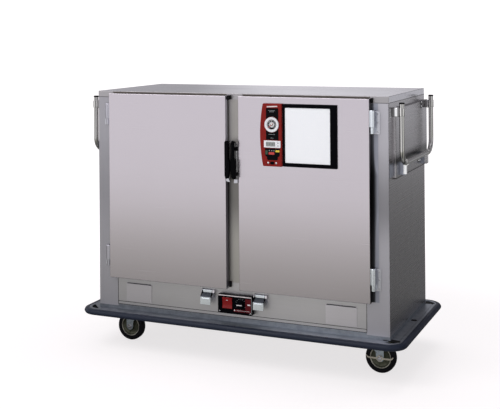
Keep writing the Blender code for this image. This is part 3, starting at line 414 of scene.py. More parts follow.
# darker copy of the casting for the left door's hinges: painted shade
M["cast_painted_shade"] = metal("casting_painted_shade", (0.55, 0.54, 0.60), 0.34, 0.03, 160.0, 0.10)
M["cast_dark"] = metal("shaded_casting", (0.10, 0.11, 0.13), 0.42, 0.05, 160.0, 0.10)
M["leaf"] = metal("hinge_leaf", (0.62, 0.62, 0.67), 0.36, 0.04, 160.0, 0.08)
M["zinc"] = metal("zinc_plate", (0.60, 0.68, 0.78), 0.30, 0.06, 70.0, 0.04, (0.66, 0.70, 0.70))
M["brake"] = metal("brake_plate", (0.74, 0.68, 0.58), 0.32, 0.05, 90.0, 0.04)
M["hub"] = metal("hub_casting", (0.12, 0.125, 0.09), 0.48, 0.12, 90.0, 0.15)
M["hubring"] = metal("hub_ring", (0.62, 0.60, 0.52), 0.38, 0.06, 90.0, 0.05)
M["heat"] = metal("heater_sheath", (0.34, 0.30, 0.27), 0.35, 0.10, 90.0, 0.05, (0.42, 0.28, 0.22))
M["screw"] = metal("screw_steel", (0.62, 0.62, 0.64), 0.25, 0.04, 200.0, 0.05)
M["black"] = plastic("black_moulding", (0.0010, 0.0010, 0.0022), 0.40, relief=0.12, edge=0.05, spec=0.030)
M["grip"] = plastic("black_grip", (0.0010, 0.0010, 0.0018), 0.42, relief=0.18, edge=0.05, spec=0.035)
M["gloss"] = plastic("black_gloss", (0.0010, 0.0010, 0.0020), 0.16, relief=0.02, edge=0.05, spec=0.05)
M["red"] = plastic("red_panel", (0.215, 0.012, 0.009), 0.30, relief=0.05, edge=0.15, spec=0.12)
M["dark_red"] = plastic("dark_red_label", (0.085, 0.003, 0.006), 0.28, relief=0.04, spec=0.12)
M["lens"] = plastic("red_rocker", (0.19, 0.003, 0.004), 0.16, relief=0.02, coat=0.15, sub=0.05, spec=0.2)
M["bumper"] = rubber("bumper_vinyl", (0.013, 0.018, 0.034), 0.46, (0.03, 0.038, 0.06), 0.22, 0.10, 0.22)
M["tyre"] = rubber("tyre_rubber", (0.006, 0.006, 0.008), 0.55, (0.035, 0.035, 0.035), 0.30, 0.25, 0.10)
# dark strips above the doors: painted shade
M["head_painted_shade"] = rubber("head_painted_shade", (0.12, 0.105, 0.09), 0.6, (0.02, 0.02, 0.02), 0.2, 0.2, 0.08)
M["gasket"] = rubber("door_gasket", (0.006, 0.006, 0.007), 0.6, (0.02, 0.02, 0.02), 0.2, 0.2, 0.08)
M["foam"] = foam_mat("insulation_foam")
M["white"] = plastic("white_moulding", (0.82, 0.83, 0.85), 0.35, relief=0.05, vary=0.03, edge=0.0)
M["face"] = plastic("dial_face", (0.75, 0.75, 0.74), 0.4, relief=0.02, vary=0.03, edge=0.0)
M["paper"] = paper("card_paper")
M["lcd"] = lcd("display_window")
M["yellow"] = ink("yellow_key", (0.75, 0.55, 0.04))
M["key_red"] = ink("red_key", (0.50, 0.04, 0.035))
M["green"] = ink("green_key", (0.015, 0.06, 0.03))
M["grey"] = ink("grey_mark", (0.32, 0.33, 0.34))
M["pale"] = ink("pale_mark", (0.72, 0.66, 0.66))

# ============================================================================
# mesh helpers: each returns a bmesh in millimetres
# ============================================================================


def rbox(x0, x1, y0, y1, z0, z1, r=1.0, seg=2):
    x0, x1 = sorted((x0, x1))
    y0, y1 = sorted((y0, y1))
    z0, z1 = sorted((z0, z1))
    bm = bmesh.new()
    bmesh.ops.create_cube(bm, size=1.0)
    for v in bm.verts:
        v.co = Vector(((x0 + x1) / 2 + v.co.x * (x1 - x0), (y0 + y1) / 2 + v.co.y * (y1 - y0), (z0 + z1) / 2 + v.co.z * (z1 - z0)))
    r = min(r, 0.49 * min(x1 - x0, y1 - y0, z1 - z0))
    if r > 0.01:
        bmesh.ops.bevel(bm, geom=bm.edges[:], offset=r, segments=seg, profile=0.5, affect="EDGES", clamp_overlap=True)
    return bm


def sharp_bevel(bm, r, seg=2, angle=30):
    if r > 0.01:
        bm.normal_update()
        es = [e for e in bm.edges if len(e.link_faces) == 2 and e.calc_face_angle(0.0) > D(angle)]
        if es:
            bmesh.ops.bevel(bm, geom=es, offset=r, segments=seg, profile=0.5, affect="EDGES", clamp_overlap=True)
    return bm


PLACE = {"x": lambda p, t: (t, p[0], p[1]), "y": lambda p, t: (p[0], t, p[1]), "z": lambda p, t: (p[0], p[1], t)}


def prism(outline, along, a, b, r=0.0, seg=2, angle=30):
    bm = bmesh.new()
    place = PLACE[along]
    lo = [bm.verts.new(place(p, a)) for p in outline]
    hi = [bm.verts.new(place(p, b)) for p in outline]
    n = len(outline)
    bm.faces.new(lo)
    bm.faces.new(hi[::-1])
    for i in range(n):
        j = (i + 1) % n
        bm.faces.new((lo[j], lo[i], hi[i], hi[j]))
    bmesh.ops.recalc_face_normals(bm, faces=bm.faces)
    return sharp_bevel(bm, r, seg, angle)


def round_poly(pts, radii, seg=6):
    """Outline with each corner rounded."""
    if isinstance(radii, (int, float)):
        radii = [radii] * len(pts)
    out = []
    n = len(pts)
    for i, p in enumerate(pts):
        p, a, b = Vector(p), Vector(pts[i - 1]), Vector(pts[(i + 1) % n])
        r = radii[i]
        if r <= 0:
            out.append(tuple(p))
            continue
        u, w = (a - p).normalized(), (b - p).normalized()
        ang = math.acos(max(-1, min(1, u.dot(w))))
        t = min(r / math.tan(ang / 2), 0.49 * (a - p).length, 0.49 * (b - p).length)
        r2 = t * math.tan(ang / 2)
        c = p + (u + w).normalized() * (r2 / math.sin(ang / 2))
        s, e = p + u * t - c, p + w * t - c
        a0, a1 = math.atan2(s.y, s.x), math.atan2(e.y, e.x)
        d = (a1 - a0 + math.pi) % (2 * math.pi) - math.pi
        for k in range(seg + 1):
            th = a0 + d * k / seg
            out.append((c.x + r2 * math.cos(th), c.y + r2 * math.sin(th)))
    return out


def circle(cx, cy, r, n=32, start=0.0):
    return [(cx + r * math.cos(start + 2 * math.pi * i / n), cy + r * math.sin(start + 2 * math.pi * i / n)) for i in range(n)]


def lathe(profile, centre, along="z", n=48, closed=False, flip=1.0):
    """Profile of (radius, height) turned about an axis. Radius 0 closes an end."""
    bm = bmesh.new()
    cx, cy, cz = centre

    def at(r, h, t):
        p, q = r * math.cos(t), r * math.sin(t)
        h *= flip
        return {"x": (cx + h, cy + p, cz + q), "y": (cx + p, cy + h, cz + q), "z": (cx + p, cy + q, cz + h)}[along]

    rings = []
    for r, h in profile:
        if r < 1e-6:
            rings.append([bm.verts.new(at(0, h, 0))])
        else:
            rings.append([bm.verts.new(at(r, h, 2 * math.pi * i / n)) for i in range(n)])
    m = len(rings)
    for k in range(m if closed else m - 1):
        a, b = rings[k], rings[(k + 1) % m]
        for i in range(n):
            j = (i + 1) % n
            vs = [a[i % len(a)], a[j % len(a)], b[j % len(b)], b[i % len(b)]]
            vs = [v for q, v in enumerate(vs) if v not in vs[:q]]
            if len(vs) > 2:
                bm.faces.new(vs)
    bmesh.ops.recalc_face_normals(bm, faces=bm.faces)
    return bm


def dome(centre, r, h, along="z", flip=1.0, n=24, base=0.0):
    prof = [(0, base), (r, base), (r, base + h * 0.25)]
    prof += [(r * math.cos(D(a)), base + h * 0.25 + h * 0.75 * math.sin(D(a))) for a in (25, 45, 65, 80)] + [(0, base + h)]
    return lathe(prof, centre, along, n, flip=flip)


def rod(along, centre, r, a, b, n=32, ch=0.6):
    """Round bar with chamfered ends; centre is the two coordinates across its axis."""
    ch = min(ch, 0.4 * r, 0.4 * abs(b - a))
    a, b = sorted((a, b))
    prof = [(0, a), (r - ch, a), (r, a + ch), (r, b - ch), (r - ch, b), (0, b)]
    c = {"x": (0, centre[0], centre[1]), "y": (centre[0], 0, centre[1]), "z": (centre[0], centre[1], 0)}[along]
    return lathe(prof, c, along, n)


def sweep(path, r, n=16, closed=False, cap=True, section=None):
    """Round (or given section) bar along a path of points, without twist."""
    bm = bmesh.new()
    pts = [Vector(p) for p in path]
    m = len(pts)
    tang = []
    for i in range(m):
        a = pts[i] - pts[i - 1] if (i or closed) else pts[1] - pts[0]
        b = pts[(i + 1) % m] - pts[i] if (i < m - 1 or closed) else a
        tang.append((a.normalized() + b.normalized()).normalized())
    ref = Vector((0, 0, 1)) if abs(tang[0].z) < 0.9 else Vector((1, 0, 0))
    u = (ref - tang[0] * ref.dot(tang[0])).normalized()
    rings = []
    for i in range(m):
        if i:
            u = (u - tang[i] * u.dot(tang[i])).normalized()
        w = tang[i].cross(u)
        sec = section or [(r * math.cos(2 * math.pi * k / n), r * math.sin(2 * math.pi * k / n)) for k in range(n)]
        rings.append([bm.verts.new(pts[i] + u * a + w * b) for a, b in sec])
    k = len(rings[0])
    for i in range(m if closed else m - 1):
        a, b = rings[i], rings[(i + 1) % m]
        for q in range(k):
            p = (q + 1) % k
            bm.faces.new((a[q], a[p], b[p], b[q]))
    if not closed and cap:
        bm.faces.new(rings[0][::-1])
        bm.faces.new(rings[-1])
    bmesh.ops.recalc_face_normals(bm, faces=bm.faces)
    return bm


def rounded_outline(a, b, r, n, cx=0.0, cy=0.0):
    out = []
    for sx, sy, t0 in ((1, -1, -90), (1, 1, 0), (-1, 1, 90), (-1, -1, 180)):
        ox, oy = cx + sx * (a - r), cy + sy * (b - r)
        for i in range(n + 1):
            t = D(t0 + 90.0 * i / n)
            c, s = math.cos(t), math.sin(t)
            out.append(((ox + r * c, oy + r * s), (c, s)))
    return out


def loop_sweep(path, section, place="z"):
    """Closed section of (outward offset, height) carried round a closed rounded path."""
    bm = bmesh.new()
    put = {"z": lambda x, y, h: (x, y, h), "y": lambda x, y, h: (x, h, y)}[place]
    rings = [[bm.verts.new(put(px + nx * d, py + ny * d, z)) for d, z in section] for (px, py), (nx, ny) in path]
    n, m = len(rings), len(section)
    for i in range(n):
        a, b = rings[i], rings[(i + 1) % n]
        for k in range(m):
            q = (k + 1) % m
            bm.faces.new((a[k], a[q], b[q], b[k]))
    bmesh.ops.recalc_face_normals(bm, faces=bm.faces)
    return bm


def pan(x0, x1, y0, y1, z0, z1, open_dir, r=3.0, t=1.5, seg=3):
    """Folded sheet pan: a box without one face, its edges rounded, given a thickness inwards."""
    bm = rbox(x0, x1, y0, y1, z0, z1, 0)
    bm.normal_update()
    d = Vector(open_dir)
    bmesh.ops.delete(bm, geom=[f for f in bm.faces if f.normal.dot(d) > 0.9], context="FACES_ONLY")
    es = [e for e in bm.edges if len(e.link_faces) == 2]
    bmesh.ops.bevel(bm, geom=es, offset=r, segments=seg, profile=0.5, affect="EDGES", clamp_overlap=True)
    bm.normal_update()
    bmesh.ops.recalc_face_normals(bm, faces=bm.faces)
    centre = Vector(((x0 + x1) / 2, (y0 + y1) / 2, (z0 + z1) / 2))
    faces = bm.faces[:]
    out = sum(f.calc_area() * (1 if f.normal.dot(f.calc_center_median() - centre) > 0 else -1) for f in faces)
    if out < 0:
        bmesh.ops.reverse_faces(bm, faces=faces)
    bm.normal_update()
    inner = {v: bm.verts.new(v.co - v.normal * t * 1.0) for v in bm.verts[:]}
    # inner skin: each point moved inwards along its normal
    for f in faces:
        bm.faces.new([inner[v] for v in reversed(f.verts)])
    for e in [e for e in bm.edges if len(e.link_faces) == 1 and e.verts[0] in inner]:
        a, b = e.verts
        f = e.link_faces[0]
        loop = next(lp for lp in f.loops if lp.edge == e)
        p, q = loop.vert, loop.link_loop_next.vert
        bm.faces.new((q, p, inner[p], inner[q]))
    bmesh.ops.recalc_face_normals(bm, faces=bm.faces)
    return bm


def screw(pos, axis, r=4.0, h=2.4, slot="cross"):
    """Pan-head screw with a recessed drive, standing on `pos` and facing along `axis` such as '-y'."""
    along, flip = axis[1], (-1.0 if axis[0] == "-" else 1.0)
    prof = [(0, h * 0.35), (r * 0.34, h * 0.35), (r * 0.42, h), (r * 0.62, h * 0.96), (r * 0.88, h * 0.62), (r, h * 0.18), (r, -0.15), (0, -0.15)]
    return lathe(prof, pos, along, 6 if slot == "hex" else 12, flip=flip)


def bolt(pos, axis, r=7.0, h=5.0):
    """Hexagon head with a washer."""
    along, flip = axis[1], (-1.0 if axis[0] == "-" else 1.0)
    bm = lathe([(0, 0), (r * 1.35, 0), (r * 1.35, 0.9), (r * 1.3, 1.3), (0, 1.3)], pos, along, 28, flip=flip)
    top = lathe([(0, 1.3), (r, 1.3), (r, h - 0.8), (r * 0.86, h), (0, h)], pos, along, 6, flip=flip)
    me = bpy.data.meshes.new("t")
    top.to_mesh(me)
    bm.from_mesh(me)
    top.free()
    bpy.data.meshes.remove(me)
    return bm


class Piece:
    """One finished object: meshes put together with their materials, riding on a body."""

    def __init__(self, name, body, mats, slot=None, replaces=()):
        self.name, self.body, self.mats, self.slot_name, self.repl = name, body, mats, slot, replaces
        self.bm = bmesh.new()

    def put(self, src, mat=0, matrix=None):
        if matrix is not None:
            src.transform(matrix)
        for f in src.faces:
            f.material_index = mat
            f.smooth = True
        me = bpy.data.meshes.new("t")
        src.to_mesh(me)
        src.free()
        self.bm.from_mesh(me)
        bpy.data.meshes.remove(me)
        return self

    def done(self, sharp=38, weighted=True):
        self.bm.transform(Matrix.Scale(MM, 4))
        me = bpy.data.meshes.new(self.name)
        self.bm.to_mesh(me)
        self.bm.free()
        ob = bpy.data.objects.new(self.name, me)
        bpy.context.scene.collection.objects.link(ob)
        for m in self.mats:
            me.materials.append(M[m])
        me.shade_smooth()
        me.set_sharp_from_angle(angle=D(sharp))
        if weighted:
            w = ob.modifiers.new("weighted", "WEIGHTED_NORMAL")
            w.keep_sharp = True
            w.weight = 80
        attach(ob, self.body)
        if self.repl:
            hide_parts(*self.repl)
        return ob


def keep(name, mat, bevel=0.6, seg=2):
    """A CAD node whose shape is right: merged, its edges eased, and given its material."""
    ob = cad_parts[name]
    ob.data.materials.clear()
    ob.data.materials.append(M[mat])
    w = ob.modifiers.new("weld", "WELD")
    w.merge_threshold = 0.00002
    if bevel:
        d = ob.modifiers.new("planar", "DECIMATE")
        d.decimate_type = "DISSOLVE"
        d.angle_limit = D(0.6)
        b = ob.modifiers.new("edge", "BEVEL")
        b.width = bevel * MM
        b.segments = seg
        b.limit_method = "ANGLE"
        b.angle_limit = D(35)
        b.use_clamp_overlap = True
        b.harden_normals = False
    return ob


# ============================================================================
# outer shell
# ============================================================================
p = Piece("lid_shell", "cabinet", ["lid", "lid_painted_shade"], "stainless_lid", ["top_lid"])
p.put(pan(-HW, HW, -HD, HD, LID_Z0, LID_TOP, (0, 0, -1), 2.0, 1.4, 3))
# front and back faces of the lid take the darker copy: painted shade
p.bm.normal_update()
for f in p.bm.faces:
    if f.normal.y < -0.5 or f.normal.y > 0.9:
        f.material_index = 1
p.done()

for side, s in SIDES:
    e = HW * s
    p = Piece(f"side_shell_{side}", "cabinet", ["body_side", "body_front", "screw", "edge"], "stainless", [f"side_panel_{side}"])
    ro, ri = 4.0, 2.2
    out = [(e, HD), (e, FRONT), (e - s * COLUMN_W, FRONT), (e - s * COLUMN_W, FRONT + 12), (e - s * (COLUMN_W - 1.6), FRONT + 12),
           (e - s * (COLUMN_W - 1.6), FRONT + 1.8), (e - s * 1.8, FRONT + 1.8), (e - s * 1.8, HD)]
    out = round_poly(out, [0, ro, 1.4, 0, 0, 0.6, ri, 0], 5)
    wall = prism(out, "z", BODY_BOTTOM, WALL_TOP)
    wall.normal_update()
    p.put(wall, 0)
    # the front flange takes the front grain and the posts' painted light and shade
    p.bm.normal_update()
    for f in p.bm.faces:
        if abs(f.normal.y) > 0.7:
            f.material_index = 1
    # raised stiffening panel behind the push handle, pop-riveted on
    x0, x1 = sorted((e + s * 0.2, e + s * 15.0))
    panel = pan(x0, x1, -280.0, 348.0, 966.0, 1301.0, (-s, 0, 0), 5.0, 1.4, 4)
    panel.normal_update()
    p.put(panel, 0)
    # dark strip under the raised panel's foot, in the darkened edge steel: painted shade
    p.put(rbox(*sorted((e + s * 0.3, e + s * 13.0)), -276.0, 344.0, 962.6, 966.6, 1.2), 3)
    for y in (-262.0, -90.0, 90.0, 262.0, 330.0):
        for z in (980.0, 1287.0):
            p.put(dome((e + s * 15.0, y, z), 3.6, 1.5, "x", s, 14), 2)
    for z in (270.0, 420.0, 570.0, 720.0, 870.0):
        p.put(dome((e, 336.0, z), 3.2, 1.3, "x", s, 14), 2)
    p.done()

p = Piece("back_shell", "cabinet", ["body_back", "screw"], "stainless", ["back_panel"])
bx = HW - 2.4
p.put(pan(-bx, bx, HD - 2.0, HD, BODY_BOTTOM, WALL_TOP, (0, -1, 0), 0.5, 1.2, 2))
for x in (-770.0, -385.0, 0.0, 385.0, 770.0):
    for z in (246.0, 516.0, 786.0, 1056.0, 1314.0):
        p.put(screw((x, HD, z), "+y", 4.2, 2.2), 1)
p.done()

keep("front_frame", "mullion", 0.7)
keep("kick_panel", "kick", 0.5)
keep("insulation", "foam", 0)
keep("inner_liner", "liner", 0)
keep("heat_duct", "liner", 0.4)

# dark strips across the header above each door, and lower ones behind each door's head, all in the dark head colour:
# painted shade for the dark line under the lid
p = Piece("head_shade_strips", "cabinet", ["head_painted_shade", "body_front"], "gasket")
for side, s in SIDES:
    a, b = sorted((s * (DOOR_X0 + 10), s * (DOOR_X1 - 6)))
    p.put(rbox(a, b, FRONT - 3.0, FRONT - 0.4, 1352.4, 1357.6, 0.8))
    a, b = sorted((s * (DOOR_X0 + 14), s * (DOOR_X1 - 10)))
    p.put(rbox(a, b, FRONT - 1.6, FRONT - 0.2, 1332.5, 1351.8, 0.5))
p.done()

# caulked joints of the sheets: fine dark lines
p = Piece("sheet_joints", "cabinet", ["gasket"], "gasket")
for z in (255.0, 240.0):
    p.put(rbox(-INNER_X + 1, INNER_X - 1, FRONT - 0.8, FRONT + 0.1, z - 1.0, z + 1.0, 0.3))
for s in (-1.0, 1.0):
    p.put(rbox(s * (INNER_X - 0.9), s * (INNER_X + 1.3), FRONT - 0.8, FRONT + 0.1, 239.4, 384.0, 0.3))
    p.put(rbox(s * (INNER_X + 2), s * (HW - 1), FRONT - 0.7, FRONT + 0.1, 1328.2, 1330.4, 0.3))
    p.put(rbox(s * (HW - 0.1), s * (HW + 0.7), FRONT + 1, HD - 1, 1328.4, 1330.2, 0.3))
p.done()

# thin dark strips on the posts down the hinge side of each doorway: painted shade and painted reflection of the door's
# edge
p = Piece("hinge_side_painted_shade", "cabinet", ["gap"], "gasket")
for s in (-1.0, 1.0):
    for z0, z1 in ((387.0, 441.0), (549.0, 1181.0), (1294.0, 1327.0)):
        p.put(rbox(s * 699.0, s * (742.0 if s > 0 else 722.0), FRONT - 0.9, FRONT - 0.1, z0, z1, 0.3))
p.done()

# folded foot of the front, in the deck's metal
p = Piece("foot_strip", "cabinet", ["galv", "screw"], "galvanised")
p.put(rbox(-INNER_X + 1, INNER_X - 1, FRONT - 1.0, FRONT - 0.1, 229.7, 238.9, 0.4))
p.done()

# small black blocks beside the head of each door: painted shade for the dark corners there; and the rest block under
# the latch side
p = Piece("dark_blocks", "cabinet", ["gasket"], "gasket")
p.put(rbox(-33.0, -19.0, -374.0, -352.0, 1330.6, 1352.0, 1.5))
p.put(rbox(DOOR_X1 + 0.6, DOOR_X1 + 9.0, -366.0, -352.0, 1330.6, 1353.0, 1.5))
p.put(rbox(-31.0, -21.0, -362.0, -352.0, 391.0, 419.0, 1.5))
p.done()

for side, x0, x1 in (("left", -628.0, -479.0), ("right", 475.0, 632.0)):
    p = Piece(f"blank_plate_{side}", "cabinet", ["cover", "screw", "gap"], "stainless", [f"blank_cover_{side}"])
    prof = round_poly([(FRONT - 2.3, 260.0), (FRONT - 0.4, 260.0), (FRONT - 0.4, 353.0), (FRONT - 6.0, 353.0), (FRONT - 6.0, 351.4), (FRONT - 2.3, 351.4)],
                      [0.6, 0, 0, 0.5, 0.5, 0.8], 3)
    p.put(prism(prof, "x", x0, x1, 0.4))
    for x in (x0 + 9, x1 - 9):
        for z in (270.0, 341.0):
            p.put(screw((x, FRONT - 2.3, z), "-y", 3.0, 1.0), 0)
    # dark box in the open slot that the cover's turned top edge leaves: painted shade
    p.put(rbox(x0 + 6.0, x1 - 6.0, FRONT - 5.6, FRONT - 0.1, 353.2, 356.0, 0.3), 2)
    p.done()

# ============================================================================
# base: deck, channel rim, bumper
# ============================================================================
keep("base_deck", "galv", 0.5)
path = rounded_outline(HW + RIM_OUT, HD + RIM_OUT, BUMPER_R - (OVERHANG - RIM_OUT), 18)
p = Piece("base_channel", "cabinet", ["galv", "hubring", "screw"], "galvanised", ["base_frame"])
dr = RIM_IN - RIM_OUT
sec = [(0.0, DECK_Z - 1.8), (-0.3, DECK_Z - 0.5), (-1.6, DECK_Z), (dr - 2.6, DECK_Z), (dr - 3.6, DECK_Z - 0.6), (dr - 3.9, DECK_Z - 1.8), (dr - 3.9, DECK_Z - 3.2),
       (dr - 2, DECK_Z - 3.6), (dr - 2, BUMPER_Z0 + 3.4), (dr - 1.4, BUMPER_Z0 + 3.0), (0.0, BUMPER_Z0 + 3.0), (0.0, BUMPER_Z0 + 5.0), (dr, BUMPER_Z0 + 5.0), (dr, DECK_Z - 2.0), (0.0, DECK_Z - 2.0)]
p.put(loop_sweep(path, sec), 0)
xi, yi = HW + RIM_IN - 1.0, HD + RIM_IN - 1.0
for y in (-CASTER_Y, CASTER_Y):
    p.put(rbox(-xi, xi, y - 52, y + 52, CASTER_TOP, DECK_Z - 3.4, 1.2))
for x in (-SWIVEL_X, 0.0, SWIVEL_X):
    p.put(rbox(x - 45, x + 45, -yi, yi, CASTER_TOP + 0.5, DECK_Z - 3.9, 1.2))
for sx in (-1.0, 1.0):
    for sy in (-1.0, 1.0):
        cx, cy = sx * SWIVEL_X, sy * CASTER_Y
        p.put(lathe([(7.0, CASTER_TOP + 1), (7.0, CASTER_TOP - 7.0), (31.0, CASTER_TOP - 7.0), (34.0, CASTER_TOP - 4.6), (34.0, CASTER_TOP - 1), (36.0, CASTER_TOP + 0.2), (36.0, CASTER_TOP + 1)],
                    (cx, cy, 0.0), "z", 48, closed=True), 0)
        for dx in (-38.0, 38.0):
            for dy in (-42.0, 42.0):
                p.put(bolt((cx + dx, cy + dy, CASTER_TOP), "-z", 6.5, 5.5), 2)
p.done()

p = Piece("deck_shadow_pans", "cabinet", ["gasket"], "bumper_rubber")
p.put(lathe([(0, 201.0), (17.0, 201.0), (18.0, 202.0), (18.0, 210.5), (16.8, 210.5), (16.8, 202.6), (0, 202.6)], (816.0, 12.0, 0), "z", 36))
p.put(lathe([(9.0, 214.6), (15.0, 214.6), (15.4, 215.2), (14.6, 216.0), (10.4, 216.2), (9.4, 215.8), (9.0, 213.4)], (816.0, 12.0, 0), "z", 36, closed=True))
p.put(lathe([(0, 213.8), (9.2, 213.8), (9.2, 214.9), (0, 214.9)], (816.0, 12.0, 0), "z", 36))
for sx in (-1.0, 1.0):
    for sy in (-1.0, 1.0):
        cx, cy = sx * (HW + 14.0), sy * (HD + 14.0)
        tri = round_poly([(cx - sx * 52, cy + sy * 31), (cx + sx * 31, cy + sy * 31), (cx + sx * 31, cy - sy * 52)], 4.0, 4)
        p.put(prism(tri, "z", 204.0, 206.0, 0.5))
        if sx > 0:
            # flat dark pad on the deck round the right-hand corners of the body: painted shade standing for openings
            # there
            pad = [(sx * x, sy * y) for x, y in ((752, 353.5), (768, 364), (800, 371), (832, 371), (843, 360), (842, 346), (822, 337), (796.5, 333), (796, 353.5))]
            p.put(prism(round_poly(pad if sy < 0 else pad[::-1], 3.0, 4), "z", 214.2, 215.5, 0.2))
p.done()

p = Piece("bumper_extrusion", "cabinet", ["bumper"], "bumper_rubber", ["bumper"])
mid, half = (BUMPER_Z0 + BUMPER_Z1) / 2, (BUMPER_Z1 - BUMPER_Z0) / 2
sec = [(-9.0, BUMPER_Z0 + 5.5), (0.4, BUMPER_Z0 + 5.5), (0.4, BUMPER_Z0 + 1.2), (1.4, BUMPER_Z0 + 0.4)]
OUT = OVERHANG - RIM_OUT
for i in range(13):
    t = D(-90 + 15 * i)
    # full rounded nose with two shallow grooves along it
    groove = 1.1 if i in (4, 8) else 0.0
    sec.append((10.0 + (OUT - 10.0 - groove) * math.cos(t), mid + (half - groove * 0.3) * math.sin(t)))
sec += [(1.4, BUMPER_Z1 - 0.2), (0.4, BUMPER_Z1 - 0.8), (0.4, DECK_Z - 2.5), (-9.0, DECK_Z - 2.5)]
p.put(loop_sweep(rounded_outline(HW + RIM_OUT, HD + RIM_OUT, BUMPER_R - OUT, 20), sec))
p.done(sharp=50, weighted=False)

# ============================================================================
# push handles
# ============================================================================
OFF, LEG_Y, TOP_Z, LOW_Z, BEND, TR = 49.0, 296.0, 1330.0, 1038.0, 65.0, 12.3
for side, s in SIDES:
    x = s * (HW + OFF)
    p = Piece(f"handle_bar_{side}", "cabinet", ["tube", "black", "screw", "chrome_painted_highlight", "case", "leaf_cool"], "chrome", [f"push_handle_{side}"])
    pts = [(x, -LEG_Y, TOP_Z - 1.0)] + [(x, -LEG_Y, TOP_Z - 30.0 * i) for i in range(1, 8)]
    for sy in (-1.0, 1.0):
        cy, cz = sy * (LEG_Y - BEND), LOW_Z + BEND
        arc = [(x, cy + sy * BEND * math.cos(D(t)), cz - BEND * math.sin(D(t))) for t in range(0, 91, 6)]
        if sy < 0:
            pts += arc
            pts += [(x, y, LOW_Z) for y in (-160.0, -80.0, 0.0, 80.0, 160.0)]
        else:
            pts += arc[::-1]
    pts += [(x, LEG_Y, TOP_Z - 30.0 * i) for i in range(7, 0, -1)] + [(x, LEG_Y, TOP_Z - 1.0)]
    p.put(sweep(pts, TR, 28))
    for sy in (-1.0, 1.0):
        wall = HW + (0.5 if sy < 0 else 15.5)
        y = sy * LEG_Y
        p.put(lathe([(0, -1.0), (TR + 0.9, -1.0), (TR + 0.9, 4.6), (TR - 0.6, 6.0), (0, 6.0)], (x, y, TOP_Z - 6.0), "z", 28), 1)
        # one stand-off block holds each leg: a cast foot on the wall, a neck, and a saddle round the tube
        a, b = sorted((s * wall, s * (HW + OFF - TR + 3.0)))
        p.put(rbox(a, b, y - 6.5, y + 6.5, 1263.0, 1306.0, 3.0, 3), 4)
        p.put(rbox(*sorted((s * (wall + 13.0), s * (wall + 29.0))), y - 7.4, y + 7.4, 1262.2, 1306.8, 3.0, 3), 3)
        p.put(lathe([(TR + 0.1, 1266.0), (TR + 2.0, 1266.0), (TR + 2.6, 1268.0), (TR + 2.6, 1301.0), (TR + 2.0, 1303.0), (TR + 0.1, 1303.0)], (x, y, 0), "z", 32, closed=True), 0)
        # bolts of the lower bracket's backing, on the raised panel's foot
        for yy in (sy * 152.0, sy * 178.0):
            p.put(lathe([(0, 0), (10.0, 0), (10.0, 1.2), (8.8, 1.8), (0, 1.8)], (s * (HW + 15.0), yy, 1000.0), "x", 28, flip=s), 1)
            p.put(lathe([(0, 1.2), (6.6, 1.2), (6.2, 3.4), (4.8, 5.0), (0, 5.8)], (s * (HW + 15.0), yy, 1000.0), "x", 28, flip=s), 3)
        if sy < 0:
            # flat flanges on the wall beside the front brackets
            p.put(rbox(*sorted((s * (HW + 0.3), s * (HW + 2.6))), -344.0, -283.0, 977.0, 1041.0, 1.0, 2), 5)
            p.put(rbox(*sorted((s * (HW + 0.3), s * (HW + 2.6))), -331.0, -307.0, 1260.0, 1303.0, 1.0, 2), 3)
        for z in (1274.5, 1295.5):
            # carriage bolts through the panel beside the foot
            yy = y - sy * 75.0
            w2 = HW + (15.0 if sy > 0 else 0.0)
            if sy > 0:
                p.put(lathe([(0, 0), (11.0, 0), (11.0, 1.2), (9.6, 1.8), (0, 1.8)], (s * w2, yy, z), "x", 28, flip=s), 1)
                p.put(lathe([(0, 1.2), (7.4, 1.2), (7.0, 3.4), (5.4, 5.0), (0, 5.8)], (s * w2, yy, z), "x", 28, flip=s), 3)
        # lower bracket: folded strap from the panel to the rung
        yb = sy * 217.0
        prof = round_poly([(s * (HW + 15.5), 977.0), (s * (HW + OFF - 4.0), 977.0), (s * (HW + OFF + 2.5), 984.0), (s * (HW + OFF + 2.5), 1032.0), (s * (HW + 15.5), 1040.0)], [1.2, 3, 3, 2, 1.2], 3)
        p.put(prism(prof, "y", yb - 5.5, yb + 5.5, 0.8), 5)
        p.put(rbox(*sorted((s * (HW + 33.0), s * (HW + OFF + 3.0))), yb - 6.3, yb + 6.3, 980.0, 1028.0, 2.0, 3), 3)
        p.put(lathe([(TR + 0.15, -7.0), (TR + 2.2, -7.0), (TR + 2.2, 7.0), (TR + 0.15, 7.0)], (x, yb, LOW_Z), "y", 28, closed=True), 0)
    p.done()

